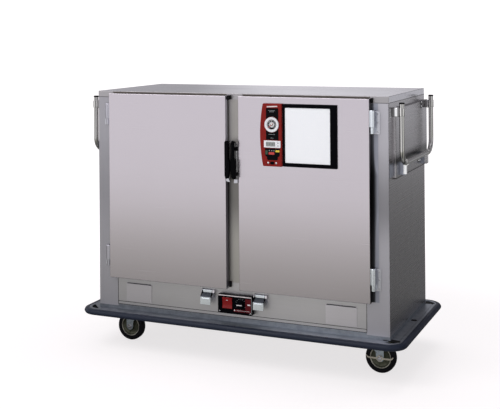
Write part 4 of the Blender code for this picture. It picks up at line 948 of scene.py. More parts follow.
# ============================================================================
# doors
# ============================================================================
for side, s in SIDES:
    door = f"door_{side}"

    def X(*v, s=s):
        return tuple(sorted(s * q for q in v))

    p = Piece(f"door_sheet_{side}", door, ["door", "edge" if side == "right" else "edge_painted_light"], "stainless", [f"door_skin_{side}"])
    x0, x1 = X(DOOR_X0, DOOR_X1)
    p.put(pan(x0, x1, DOOR_FRONT, DOOR_BACK, DOOR_Z0, DOOR_Z1, (0, 1, 0), 2.4, 1.2, 4))
    # side edges take the darkened copy (right door) or the lighter copy (left door) of the steel: painted shade and
    # painted light
    p.bm.normal_update()
    for f in p.bm.faces:
        if abs(f.normal.x) > 0.8:
            f.material_index = 1
    p.done()

    # foam core closed by the inner sheet, which is dished out to fill the doorway and screwed round its rim
    p = Piece(f"door_inner_{side}", door, ["liner", "screw"], "door_core", [f"door_core_{side}"])
    a, b = X(DOOR_X0 + 1.8, DOOR_X1 - 1.8)
    p.put(rbox(a, b, DOOR_FRONT + 1.8, DOOR_BACK, DOOR_Z0 + 1.8, DOOR_Z1 - 1.8, 0.8))
    a, b = X(66.0, 677.0)
    base = rounded_outline((b - a) / 2, (1300.0 - 429.0) / 2, 20.0, 6, (a + b) / 2, (1300.0 + 429.0) / 2)
    bm = bmesh.new()
    rings = []
    for d, y in ((0.0, DOOR_BACK - 0.4), (0.0, DOOR_BACK + 0.6), (-2.5, DOOR_BACK + 4.6), (-5.0, DOOR_BACK + 6.6), (-8.0, DOOR_BACK + 7.2)):
        rings.append([bm.verts.new((px + nx * d, y, py + ny * d)) for (px, py), (nx, ny) in base])
    for r0, r1 in zip(rings, rings[1:]):
        for i in range(len(r0)):
            j = (i + 1) % len(r0)
            bm.faces.new((r0[i], r0[j], r1[j], r1[i]))
    bm.faces.new(rings[0])
    bm.faces.new(rings[-1])
    bmesh.ops.recalc_face_normals(bm, faces=bm.faces)
    p.put(bm)
    for z in (500.0, 660.0, 865.0, 1070.0, 1230.0):
        for q in (59.5, 683.5):
            p.put(screw((s * q, DOOR_BACK, z), "+y", 3.2, 1.6), 1)
    for q in (200.0, 371.0, 542.0):
        for z in (421.0, 1308.0):
            p.put(screw((s * q, DOOR_BACK, z), "+y", 3.2, 1.6), 1)
    p.done()

    # extruded gasket: flat foot and a hollow-looking bulb against the frame
    p = Piece(f"door_seal_{side}", door, ["gasket"], "gasket", [f"door_gasket_{side}"])
    a, b = X(39.0, 704.0)
    yb, yf = DOOR_BACK + 0.3, FRONT - 0.7
    sec = [(-1.0, yb), (-13.4, yb), (-13.4, yb + 1.8), (-12.0, yb + 2.4), (-12.6, yb + 4.4), (-12.2, yf - 2.2), (-10.6, yf - 0.6), (-8.0, yf), (-5.6, yf),
           (-3.2, yf - 0.8), (-1.8, yf - 2.6), (-1.6, yb + 4.2), (-2.2, yb + 2.4), (-1.0, yb + 1.6)]
    p.put(loop_sweep(rounded_outline((b - a) / 2, (1328.0 - 401.0) / 2, 7.0, 4, (a + b) / 2, (1328.0 + 401.0) / 2), sec, "y"))
    p.done(sharp=60)

    for level, (z0, zs, z1) in zip(("upper", "lower"), HINGE_Z):
        c = (s * HINGE_X, HINGE_Y, 0.0)
        # the left door's hinge posts take the darker copy of the casting: painted shade
        p = Piece(f"hinge_post_{side}_{level}", "cabinet", ["cast" if side == "right" else "cast_painted_shade", "leaf", "screw"], "cast_metal", [f"hinge_frame_leaf_{side}_{level}"])
        r = 10.0
        p.put(lathe([(0, z0), (r - 2.4, z0), (r - 0.7, z0 + 0.8), (r, z0 + 2.4), (r, zs - 0.9), (r - 0.6, zs - 0.4), (4.0, zs - 0.4), (3.6, zs - 0.4), (3.6, z1 - 7.0), (3.0, z1 - 6.3), (0, z1 - 6.3)],
                    c, "z", 36))
        p.put(rbox(s * (HINGE_X - 6.5), s * (HINGE_X + 8.5), HINGE_Y + 4, FRONT - 2.0, z0 + 1.5, zs - 1.6, 1.6, 3))
        a, b = sorted((s * (HINGE_X - 7.0), s * (HINGE_X + 31.0)))
        plate = round_poly([(a, z0 - 3.0), (b, z0 - 3.0), (b, z1 - 8.0), (a, z1 - 8.0)], 5.0, 5)
        p.put(prism(plate, "y", FRONT - 3.0, FRONT - 0.3, 0.9, 3), 1)
        for z in (z0 + 10.0, (z0 + z1) / 2 - 3.0, z1 - 20.0):
            p.put(screw((s * (HINGE_X + 21.5), FRONT - 3.0, z), "-y", 4.0, 1.4), 2)
        p.done()
        # the left door's hinge barrels take the darker copy of the casting: painted shade
        p = Piece(f"hinge_barrel_{side}_{level}", door, ["cast" if side == "right" else "cast_painted_shade", "black", "screw"], "cast_metal", [f"hinge_door_leaf_{side}_{level}"])
        r = 13.4
        p.put(lathe([(4.4, zs), (r - 0.8, zs), (r, zs + 1.0), (r, z1 - 5.0), (r - 0.8, z1 - 2.4), (r - 3.0, z1 - 0.7), (r - 5.5, z1), (0, z1), (0, z1 - 5.0), (4.4, z1 - 5.0)], c, "z", 36, closed=False), 0)
        # knuckle's flat front boss running into the leaf on the door's edge
        a, b = sorted((s * (DOOR_X1 + 0.3), s * (HINGE_X - 2.0)))
        p.put(rbox(a, b, DOOR_FRONT + 1.0, HINGE_Y + 12, zs + 0.8, z1 - 1.4, 1.4, 3))
        p.put(lathe([(5.2, -0.4), (7.4, -0.4), (7.4, 0.5), (5.2, 0.5)], (c[0], c[1], z1), "z", 28, closed=True), 1)
        p.done()

    # latch: casting on the door's free edge with its lugs and pivot pin
    PIN_X, PIN_Y = 29.0, -392.0
    p = Piece(f"latch_body_{side}", door, ["case", "screw", "leaf"], "chrome", [f"latch_housing_{side}"])
    a, b = sorted((s * 13.0, s * (DOOR_X0 - 0.3)))
    body = round_poly([(a, 936.0), (b, 936.0), (b, 1118.0), (a, 1118.0)], 5.0, 5)
    p.put(prism(body, "y", -384.5, -357.5, 1.6, 3))
    for z0_, z1_ in ((938.0, 946.0), (1108.0, 1116.0)):
        p.put(rbox(s * (PIN_X - 5), s * (PIN_X + 5), PIN_Y + 1.0, -383.0, z0_, z1_, 0.8))
        p.put(rod("z", (s * PIN_X, PIN_Y), 5.6, z0_ + 0.2, z1_ - 0.2, 28))
    p.put(rod("z", (s * PIN_X, PIN_Y), 2.4, 944.0, 1110.0, 16), 1)
    # splayed feet that show under the pull
    foot = round_poly([(s * 7.0, 921.0), (s * 29.0, 925.0), (s * 30.0, 940.0), (s * 14.0, 941.0)], 2.5, 4) if side == "left" else round_poly([(13.0, 917.0), (33.5, 919.0), (33.5, 938.0), (14.0, 938.0)], 2.5, 4)
    p.put(prism(foot, "y", -395.0, -384.0, 1.6, 3), 2)
    p.done()

    # pull lever
    p = Piece(f"latch_pull_{side}", f"latch_{side}", ["grip", "chrome", "gloss", "leaf"], "black_grip", [f"latch_lever_{side}"])
    if side == "left":
        prof = round_poly([(-9.0, 943.0), (-23.0, 941.0), (-28.0, 956.0), (-28.0, 1122.0), (-24.0, 1129.0), (-7.0, 1129.0), (-7.0, 1040.0), (0.0, 1026.0), (0.0, 990.0)],
                          [3, 4, 6, 6, 5, 8, 6, 6, 12], 6)
        p.put(prism(prof, "y", -418.0, -400.5, 3.4, 4))
        inner = round_poly([(-11.0, 1000.0), (-24.0, 1000.0), (-24.0, 1112.0), (-11.0, 1112.0)], 5.0, 6)
        p.put(prism(inner, "y", -418.7, -412.0, 0.7, 3), 2)
    else:
        # a wide grip below that narrows to a slim bar above
        prof = round_poly([(12.0, 943.0), (27.0, 939.0), (31.0, 950.0), (31.0, 1026.0), (23.0, 1040.0), (23.0, 1122.0), (19.0, 1131.0), (9.0, 1129.0), (9.0, 1040.0), (3.5, 1026.0), (3.5, 990.0)],
                          [4, 5, 4, 6, 6, 5, 5, 5, 6, 6, 12], 6)
        p.put(prism(prof, "y", -418.0, -400.5, 3.2, 4))
        p.put(sweep([(22.0, -408.0, 1126.0), (27.0, -407.0, 1124.0), (30.5, -405.0, 1117.0), (31.0, -402.0, 1104.0), (31.0, -400.0, 1096.0)], 2.4, 14), 0)
    for z0_, z1_ in ((956.0, 974.0), (1080.0, 1098.0)):
        p.put(rbox(s * 17.0, s * (PIN_X + 2.5), -402.5, PIN_Y - 3.2, z0_, z1_, 1.2), 0)
        p.put(lathe([(2.9, z0_), (5.4, z0_), (5.4, z1_), (2.9, z1_)], (s * PIN_X, PIN_Y, 0), "z", 24, closed=True), 0)
    p.put(rbox(s * 14.0, s * 22.0, -402.0, -387.4, 1010.0, 1028.0, 1.2), 0)
    p.done()

# ============================================================================
# instruments on the right door
# ============================================================================
Y1 = DOOR_FRONT - 0.3
BX0, BX1, BZ0, BZ1, BOW = 174.0, 273.0, 1012.0, 1319.0, 15.0
PROUD = 16.0
DIAL_X, DIAL_Z, DIAL_R = 222.0, 1216.0, 37.0
FY = Y1 - PROUD


p = Piece("instrument_panel", "door_right", ["red", "gloss", "screw", "yellow", "key_red", "green", "grey", "pale", "black"], "red_panel", ["instrument_bezel"])
outline = [(BX0 + 3.0, BZ1)]
n = 18
for i in range(n + 1):
    t = i / n
    outline.append((BX0 - BOW * math.sin(math.pi * t) ** 0.8, BZ1 - 3 + (BZ0 - BZ1 + 6) * t))
outline += [(BX0 + 3.0, BZ0), (BX1, BZ0), (BX1, BZ1)]
body = prism(outline, "y", FY, Y1, 2.4, 3, 50)
# dial well and display opening are cut through the front by Boolean
tmp = bpy.data.meshes.new("t")
body.transform(Matrix.Scale(MM, 4))
body.to_mesh(tmp)
body.free()
ob = bpy.data.objects.new("bezel_tmp", tmp)
bpy.context.scene.collection.objects.link(ob)
cutters = []
for bmc in (rod("y", (DIAL_X, DIAL_Z), DIAL_R + 1.0, Y1 - 40, Y1 - 4.0, 64, 0), rbox(180.0, 268.0, Y1 - 40, Y1 - 8.0, 1103.0, 1139.0, 1.5)):
    mc = bpy.data.meshes.new("c")
    bmc.transform(Matrix.Scale(MM, 4))
    bmc.to_mesh(mc)
    bmc.free()
    oc = bpy.data.objects.new("cut", mc)
    bpy.context.scene.collection.objects.link(oc)
    md = ob.modifiers.new("b", "BOOLEAN")
    md.operation, md.object, md.solver = "DIFFERENCE", oc, "EXACT"
    cutters.append(oc)
bpy.context.view_layer.update()
dg = bpy.context.evaluated_depsgraph_get()
cutmesh = bpy.data.meshes.new_from_object(ob.evaluated_get(dg))
bm = bmesh.new()
bm.from_mesh(cutmesh)
bm.transform(Matrix.Scale(1000.0, 4))
for o in cutters + [ob]:
    bpy.data.objects.remove(o, do_unlink=True)
p.put(bm, 0)
# black overlay running down the middle, round at the foot
bx0, bx1 = 192.0, 257.0


def overlay(pts, rad, mat, proud=0.7, depth=0.4, bev=0.25):
    p.put(prism(round_poly(pts, rad, 8), "y", FY - proud, FY + depth, bev, 1), mat)


rr = DIAL_R + 2.4
th = math.acos((DIAL_X - bx0) / rr)


def dial_arc(up):
    """Points round the dial between the overlay's two sides, above or below the centre."""
    t0, t1 = math.pi - th, math.acos((bx1 - DIAL_X) / rr)
    return [(DIAL_X + rr * math.cos(t0 + (t1 - t0) * i / 14), DIAL_Z + up * rr * math.sin(t0 + (t1 - t0) * i / 14)) for i in range(15)]


for pts in (dial_arc(1.0) + [(bx1, 1294.0), (bx1 - 3.0, 1297.0), (bx0 + 3.0, 1297.0), (bx0, 1294.0)],
            dial_arc(-1.0) + [(bx1, 1141.5), (bx0, 1141.5)]):
    p.put(prism(pts, "y", FY - 0.7, FY + 0.4), 1)
overlay([(186.0, 1058.0), (263.0, 1058.0), (263.0, 1100.5), (186.0, 1100.5)], [14, 14, 0, 0], 1)
overlay([(196.0, 1043.0), (253.0, 1043.0), (253.0, 1059.5), (196.0, 1059.5)], [13, 13, 0, 0], 1)
# printed keys
overlay([(241.0, 1083.0), (262.0, 1083.0), (262.0, 1092.0), (241.0, 1092.0)], 2.0, 3, 1.3)
overlay([(205.0, 1070.0), (235.0, 1070.0), (235.0, 1082.0), (205.0, 1082.0)], 2.0, 4, 1.3)
overlay([(188.0, 1070.0), (200.0, 1070.0), (200.0, 1090.0), (188.0, 1090.0)], 2.0, 5, 1.3)
for x in (206.0, 218.0, 230.0):
    overlay([(x, 1087.0), (x + 6.0, 1087.0), (x + 6.0, 1091.0), (x, 1091.0)], 1.5, 6, 1.2)
# fine lines where the real panel is printed: kept as plain bars
for z, w in ((1284.0, 18.0), (1278.0, 13.0)):
    overlay([(DIAL_X - w, z), (DIAL_X + w, z), (DIAL_X + w, z + 1.6), (DIAL_X - w, z + 1.6)], 0.7, 6, 1.0)
for z, w in ((1168.0, 17.0), (1150.0, 9.0)):
    overlay([(DIAL_X - w, z), (DIAL_X + w, z), (DIAL_X + w, z + 1.6), (DIAL_X - w, z + 1.6)], 0.7, 6, 1.0)
# plain pale band at the head of the panel
overlay([(197.0, 1300.0), (252.0, 1303.0), (252.0, 1308.5), (197.0, 1306.0)], 1.5, 7, 0.9)
# screws and the small lens between them
for x in (202.0, 244.0):
    p.put(screw((x, FY, 1029.0), "-y", 5.6, 2.0), 2)
overlay([(213.0, 1022.0), (234.0, 1022.0), (234.0, 1036.0), (213.0, 1036.0)], 2.0, 8, 0.9)
p.done()

p = Piece("dial_gauge", "door_right", ["white", "face", "gloss", "grey", "chrome"], "white", ["dial_thermometer"])
yb = Y1 - 4.3
p.put(lathe([(2.9, -12.2), (24.0, -12.2), (24.6, -12.6), (25.4, -14.8), (28.0, -16.2), (33.5, -16.9), (36.2, -16.2), (37.0, -14.6), (37.0, 0.0), (2.9, 0.0)], (DIAL_X, yb, DIAL_Z), "y", 72, closed=True), 0)
p.put(lathe([(3.6, -12.5), (24.2, -12.5), (24.2, -12.1), (3.6, -12.1)], (DIAL_X, yb, DIAL_Z), "y", 72, closed=True), 3)
p.put(lathe([(15.0, -12.9), (22.6, -12.9), (22.6, -12.4), (15.0, -12.4)], (DIAL_X, yb, DIAL_Z), "y", 72, closed=True), 2)
for i in range(31):
    t = D(225 - 9 * i)
    big = i % 5 == 0
    r0, r1, w = (15.8 if big else 18.4), 21.6, (0.9 if big else 0.45)
    c, q = math.cos(t), math.sin(t)
    pts = [(DIAL_X + c * r - q * v, DIAL_Z + q * r + c * v) for r, v in ((r0, -w), (r1, -w), (r1, w), (r0, w))]
    p.put(prism(pts, "y", yb - 13.3, yb - 12.6), 1)
p.put(lathe([(7.0, -12.9), (11.5, -12.9), (11.5, -12.4), (7.0, -12.4)], (DIAL_X, yb, DIAL_Z), "y", 48, closed=True), 1)
p.done()

p = Piece("dial_pointer", "needle", ["key_red", "chrome"], "black_grip", ["dial_needle"])
a = D(-130)
rot = Matrix.Translation((DIAL_X, 0, DIAL_Z)) @ Matrix.Rotation(a, 4, "Y")
p.put(prism(round_poly([(-2.2, -8.0), (2.2, -8.0), (0.6, 25.0), (-0.6, 25.0)], 0.5, 2), "y", yb - 15.0, yb - 14.0, 0.2, 1), 0, rot)
p.put(lathe([(0, yb - 16.0), (3.4, yb - 15.6), (4.6, yb - 14.6), (4.6, yb - 13.6), (2.2, yb - 13.4), (2.2, yb - 1.2), (0, yb - 1.2)], (DIAL_X, 0, DIAL_Z), "y", 28), 1)
p.done()

p = Piece("display_module", "door_right", ["white", "lcd", "grey"], "white", ["digital_display"])
p.put(rbox(180.4, 267.6, Y1 - PROUD - 3.0, Y1 - 8.5, 1103.4, 1138.6, 2.6, 4))
p.put(prism(round_poly([(192.0, 1110.0), (240.0, 1110.0), (240.0, 1132.0), (192.0, 1132.0)], 2.0, 5), "y", Y1 - PROUD - 3.5, Y1 - PROUD - 2.6, 0.25, 1), 1)
for z in (1114.0, 1127.0):
    p.put(dome((255.0, Y1 - PROUD - 3.0, z), 3.4, 1.0, "y", -1.0, 20), 2)
p.done()

CX0, CX1, CZ0, CZ1 = 276.0, 552.0, 1013.0, 1318.0
p = Piece("card_holder", "door_right", ["black", "grip"], "black_grip", ["card_frame"])
ox, oz = (CX0 + CX1) / 2, (CZ0 + CZ1) / 2
inner = (CX0 + 10, CX1 - 34, CZ0 + 18, CZ1 - 18)


def frame_ring(piece, outer, hole, y_front, y_back, r_out, r_in, mat):
    """Flat frame with a rounded window and eased lips, made as one closed ring."""
    (a0, a1, c0, c1), (h0, h1, k0, k1) = outer, hole
    m = 7
    po = rounded_outline((a1 - a0) / 2, (c1 - c0) / 2, r_out, m, (a0 + a1) / 2, (c0 + c1) / 2)
    pi = rounded_outline((h1 - h0) / 2, (k1 - k0) / 2, r_in, m, (h0 + h1) / 2, (k0 + k1) / 2)
    bmf = bmesh.new()
    rings_ = []
    for src, d, y in ((po, 0.0, y_back), (po, 0.0, y_front + 1.6), (po, -0.5, y_front + 0.5), (po, -1.6, y_front), (pi, 1.6, y_front), (pi, 0.5, y_front + 0.5), (pi, 0.0, y_front + 1.6), (pi, 0.0, y_back)):
        rings_.append([bmf.verts.new((px + nx * d, y, py + ny * d)) for (px, py), (nx, ny) in src])
    for r0, r1 in zip(rings_, rings_[1:] + rings_[:1]):
        for i in range(len(r0)):
            j = (i + 1) % len(r0)
            bmf.faces.new((r0[i], r0[j], r1[j], r1[i]))
    bmesh.ops.recalc_face_normals(bmf, faces=bmf.faces)
    piece.put(bmf, mat)


frame_ring(p, (CX0, CX1, CZ0, CZ1), inner, Y1 - 8.0, Y1, 3.0, 4.0, 0)
p.put(rbox(CX0 + 2, CX1 - 2, Y1 - 1.8, Y1 - 0.2, CZ0 + 2, CZ1 - 2, 0.4), 1)
# thumb notch lip on the wide right border
p.put(rbox(CX1 - 24, CX1 - 10, Y1 - 9.0, Y1 - 7.5, CZ0 + 120, CZ1 - 120, 0.7), 1)
p.done()
p = Piece("card", "door_right", ["paper"], "white", ["card_sheet"])
p.put(prism(round_poly([(inner[0] + 0.6, inner[2] + 0.6), (inner[1] - 0.6, inner[2] + 0.6), (inner[1] - 0.6, inner[3] - 0.6), (inner[0] + 0.6, inner[3] - 0.6)], 3.5, 5), "y", Y1 - 4.2, Y1 - 2.2, 0.3, 1))
p.done()

# ============================================================================
# plug-in control module
# ============================================================================
keep("module_housing", "galv_in", 0.4)
keep("heater_element", "heat", 0)
keep("fan_impeller", "galv_in", 0)
p = Piece("module_face", "module", ["black", "dark_red", "pale", "gloss", "grey", "screw"], "black_panel", ["module_faceplate"])
tmp = bpy.data.meshes.new("t")
bm = rbox(MOD_X0, MOD_X1, MOD_FRONT, FRONT - 1.5, MOD_Z0, MOD_Z1, 2.0, 3)
bm.transform(Matrix.Scale(MM, 4))
bm.to_mesh(tmp)
bm.free()
ob = bpy.data.objects.new("face_tmp", tmp)
bpy.context.scene.collection.objects.link(ob)
cutters = []
for bmc in (rbox(-59.2, -3.8, MOD_FRONT - 5, MOD_FRONT + 18, 287.8, 348.2, 1.0), rod("y", (42.0, 317.0), 5.0, MOD_FRONT - 5, MOD_FRONT + 18, 32, 0)):
    mc = bpy.data.meshes.new("c")
    bmc.transform(Matrix.Scale(MM, 4))
    bmc.to_mesh(mc)
    bmc.free()
    oc = bpy.data.objects.new("cut", mc)
    bpy.context.scene.collection.objects.link(oc)
    md = ob.modifiers.new("b", "BOOLEAN")
    md.operation, md.object, md.solver = "DIFFERENCE", oc, "EXACT"
    cutters.append(oc)
bpy.context.view_layer.update()
dg = bpy.context.evaluated_depsgraph_get()
cutmesh = bpy.data.meshes.new_from_object(ob.evaluated_get(dg))
bm = bmesh.new()
bm.from_mesh(cutmesh)
bm.transform(Matrix.Scale(1000.0, 4))
for o in cutters + [ob]:
    bpy.data.objects.remove(o, do_unlink=True)
p.put(bm, 0)


def mark(pts, rad, mat, proud=0.5):
    p.put(prism(round_poly(pts, rad, 5), "y", MOD_FRONT - proud, MOD_FRONT + 0.4, 0.15, 1), mat)


# pale strip along the top edge and grey line down the right edge: painted highlights
mark([(MOD_X0 + 2.5, MOD_Z1 - 5.4), (MOD_X1 - 2.5, MOD_Z1 - 5.4), (MOD_X1 - 2.5, MOD_Z1 - 1.6), (MOD_X0 + 2.5, MOD_Z1 - 1.6)], 0.8, 2, 0.9)
mark([(MOD_X1 - 3.4, MOD_Z0 + 4), (MOD_X1 - 1.8, MOD_Z0 + 4), (MOD_X1 - 1.8, MOD_Z1 - 6), (MOD_X1 - 3.4, MOD_Z1 - 6)], 0.5, 4, 0.8)
mark([(66.0, 277.0), (96.0, 277.0), (96.0, 345.0), (66.0, 345.0)], 2.0, 1)
mark([(3.0, 277.0), (62.0, 277.0), (62.0, 290.0), (3.0, 290.0)], 1.5, 1, 0.45)
mark([(78.0, 314.0), (94.0, 314.0), (94.0, 320.0), (78.0, 320.0)], 1.2, 2, 0.9)
mark([(20.0, 283.5), (90.0, 283.5), (90.0, 285.0), (20.0, 285.0)], 0.6, 2, 0.8)
p.put(dome((8.0, MOD_FRONT, 284.0), 3.4, 1.6, "y", -1.0, 20), 2)
# arc of graduation ticks over the knob
for i in range(11):
    t = D(210 - 24 * i)
    c, q = math.cos(t), math.sin(t)
    pts = [(42.0 + c * r - q * v, 317.0 + q * r + c * v) for r, v in ((24.5, -0.6), (28.0, -0.6), (28.0, 0.6), (24.5, 0.6))]
    p.put(prism(pts, "y", MOD_FRONT - 0.5, MOD_FRONT + 0.3), 4)
# rocker surround
po = rounded_outline(32.0, 34.0, 5.0, 5, -31.5, 318.0)
pi = rounded_outline(28.6, 30.8, 2.5, 5, -31.5, 318.0)
bm = bmesh.new()
rings = [[bm.verts.new((px + nx * d, y, py + ny * d)) for (px, py), (nx, ny) in src] for src, d, y in
         ((po, 0, MOD_FRONT + 0.3), (po, 0, MOD_FRONT - 1.2), (po, -0.8, MOD_FRONT - 2.0), (pi, 0.6, MOD_FRONT - 2.0), (pi, 0, MOD_FRONT - 1.4), (pi, 0, MOD_FRONT + 0.3))]
for r0, r1 in zip(rings, rings[1:] + rings[:1]):
    for i in range(len(r0)):
        j = (i + 1) % len(r0)
        bm.faces.new((r0[i], r0[j], r1[j], r1[i]))
bmesh.ops.recalc_face_normals(bm, faces=bm.faces)
p.put(bm, 3)
for x in (MOD_X0 + 9, MOD_X1 - 9):
    p.put(screw((x, MOD_FRONT, MOD_Z0 + 8), "-y", 3.2, 1.4), 5)
p.done()

RX, RZ, RY = -31.5, 318.0, MOD_FRONT + 7.0
p = Piece("rocker_lens", "rocker", ["lens", "pale"], "red_lens", ["power_rocker"])
hh = 29.0
prof = [(RY + 2.0, RZ - hh + 4), (RY - 11.5, RZ - hh + 1.2)]
for i in range(1, 12):
    t = i / 12
    z = RZ - hh + 1.2 + (2 * hh - 2.4) * t
    prof.append((RY - 11.5 - 2.0 * t + 3.6 * math.sin(math.pi * t), z))
prof += [(RY - 13.4, RZ + hh - 1.6), (RY + 2.0, RZ + hh - 4), (RY + 4.0, RZ)]
p.put(prism(prof, "x", -57.8, -5.2, 1.2, 3))
p.put(rbox(-35.5, -27.5, RY - 12.6, RY - 9.0, RZ + 12, RZ + 14.5, 0.5), 1)
p.done()

p = Piece("knob_cap", "knob", ["black", "pale", "grip"], "black_grip", ["thermostat_knob"])
KX, KZ = 42.0, 317.0
ky = MOD_FRONT - 0.7
bm = lathe([(0, 0), (22.0, 0), (22.0, -2.4), (21.0, -3.4), (19.4, -4.2), (18.2, -8.0), (17.4, -14.5), (16.2, -16.8), (14.0, -17.4), (0, -17.4)], (KX, ky, KZ), "y", 72)
for v in bm.verts:
    dx, dz, dep = v.co.x - KX, v.co.z - KZ, ky - v.co.y
    r = math.hypot(dx, dz)
    if r > 16.5 and dep > 3.6:
        k = 1.0 - 0.035 * (0.5 + 0.5 * math.cos(18 * math.atan2(dz, dx)))
        v.co.x, v.co.z = KX + dx * k, KZ + dz * k
p.put(bm)
p.put(rod("y", (KX, KZ), 3.4, MOD_FRONT - 3.0, MOD_FRONT + 14, 20))
p.put(rbox(KX - 15.0, KX + 15.0, MOD_FRONT - 22.0, MOD_FRONT - 15.0, KZ - 3.8, KZ + 3.8, 1.8, 4), 2)
p.put(rbox(KX - 14.0, KX + 14.0, MOD_FRONT - 22.6, MOD_FRONT - 21.6, KZ - 2.0, KZ + 2.0, 0.4), 1)
p.done()

for side in ("left", "right"):
    x0, x1 = MLATCH_X[side]
    y, z = MLATCH_Y, MLATCH_Z
    p = Piece(f"module_paddle_{side}", f"module_clamp_{side}", ["cast", "cast_dark", "black"], "cast_metal", [f"module_latch_{side}"])
    p.put(lathe([(3.1, x0), (6.0, x0), (6.4, x0 + 0.6), (6.4, x1 - 0.6), (6.0, x1), (3.1, x1)], (0, y, z), "x", 32, closed=True))
    prof = round_poly([(y - 1, z + 6.3), (y - 6, z + 6.2), (y - 6.4, z - 8), (-388.0, 335.0), (-388.6, 297.0), (-385.4, 296.4), (-385.0, 333.0), (y - 3.2, z - 10.8), (y - 1, z - 6.0)],
                      [0, 2.5, 2, 3, 1.2, 1.2, 2, 2, 0], 4)
    p.put(prism(prof, "x", x0 + 0.6, x1 - 0.6, 0.6, 2, 40))
    # sloped front faces take the shaded copy of the casting: painted shade
    p.bm.normal_update()
    for f in p.bm.faces:
        cz = f.calc_center_median().z
        if 334.0 < cz < 357.0 and f.normal.y < -0.05:
            f.material_index = 1
        elif abs(f.normal.x) > 0.9 and cz > 334.0:
            f.material_index = 2
    p.put(rbox(x0 + 8, x1 - 8, -389.6, -387.4, 304.0, 329.0, 1.0, 3))
    # dark side cheeks of the spring
    for q in (x0 + 1.0, x1 - 1.0):
        web = round_poly([(y - 2.0, z + 4.0), (y - 7.4, z + 4.0), (-386.0, 337.0), (-384.0, 330.0), (y - 4.0, z - 16.0)], 1.5, 3)
        p.put(prism(web, "x", q - 1.0, q + 1.0, 0.3, 2), 2)
    p.done()

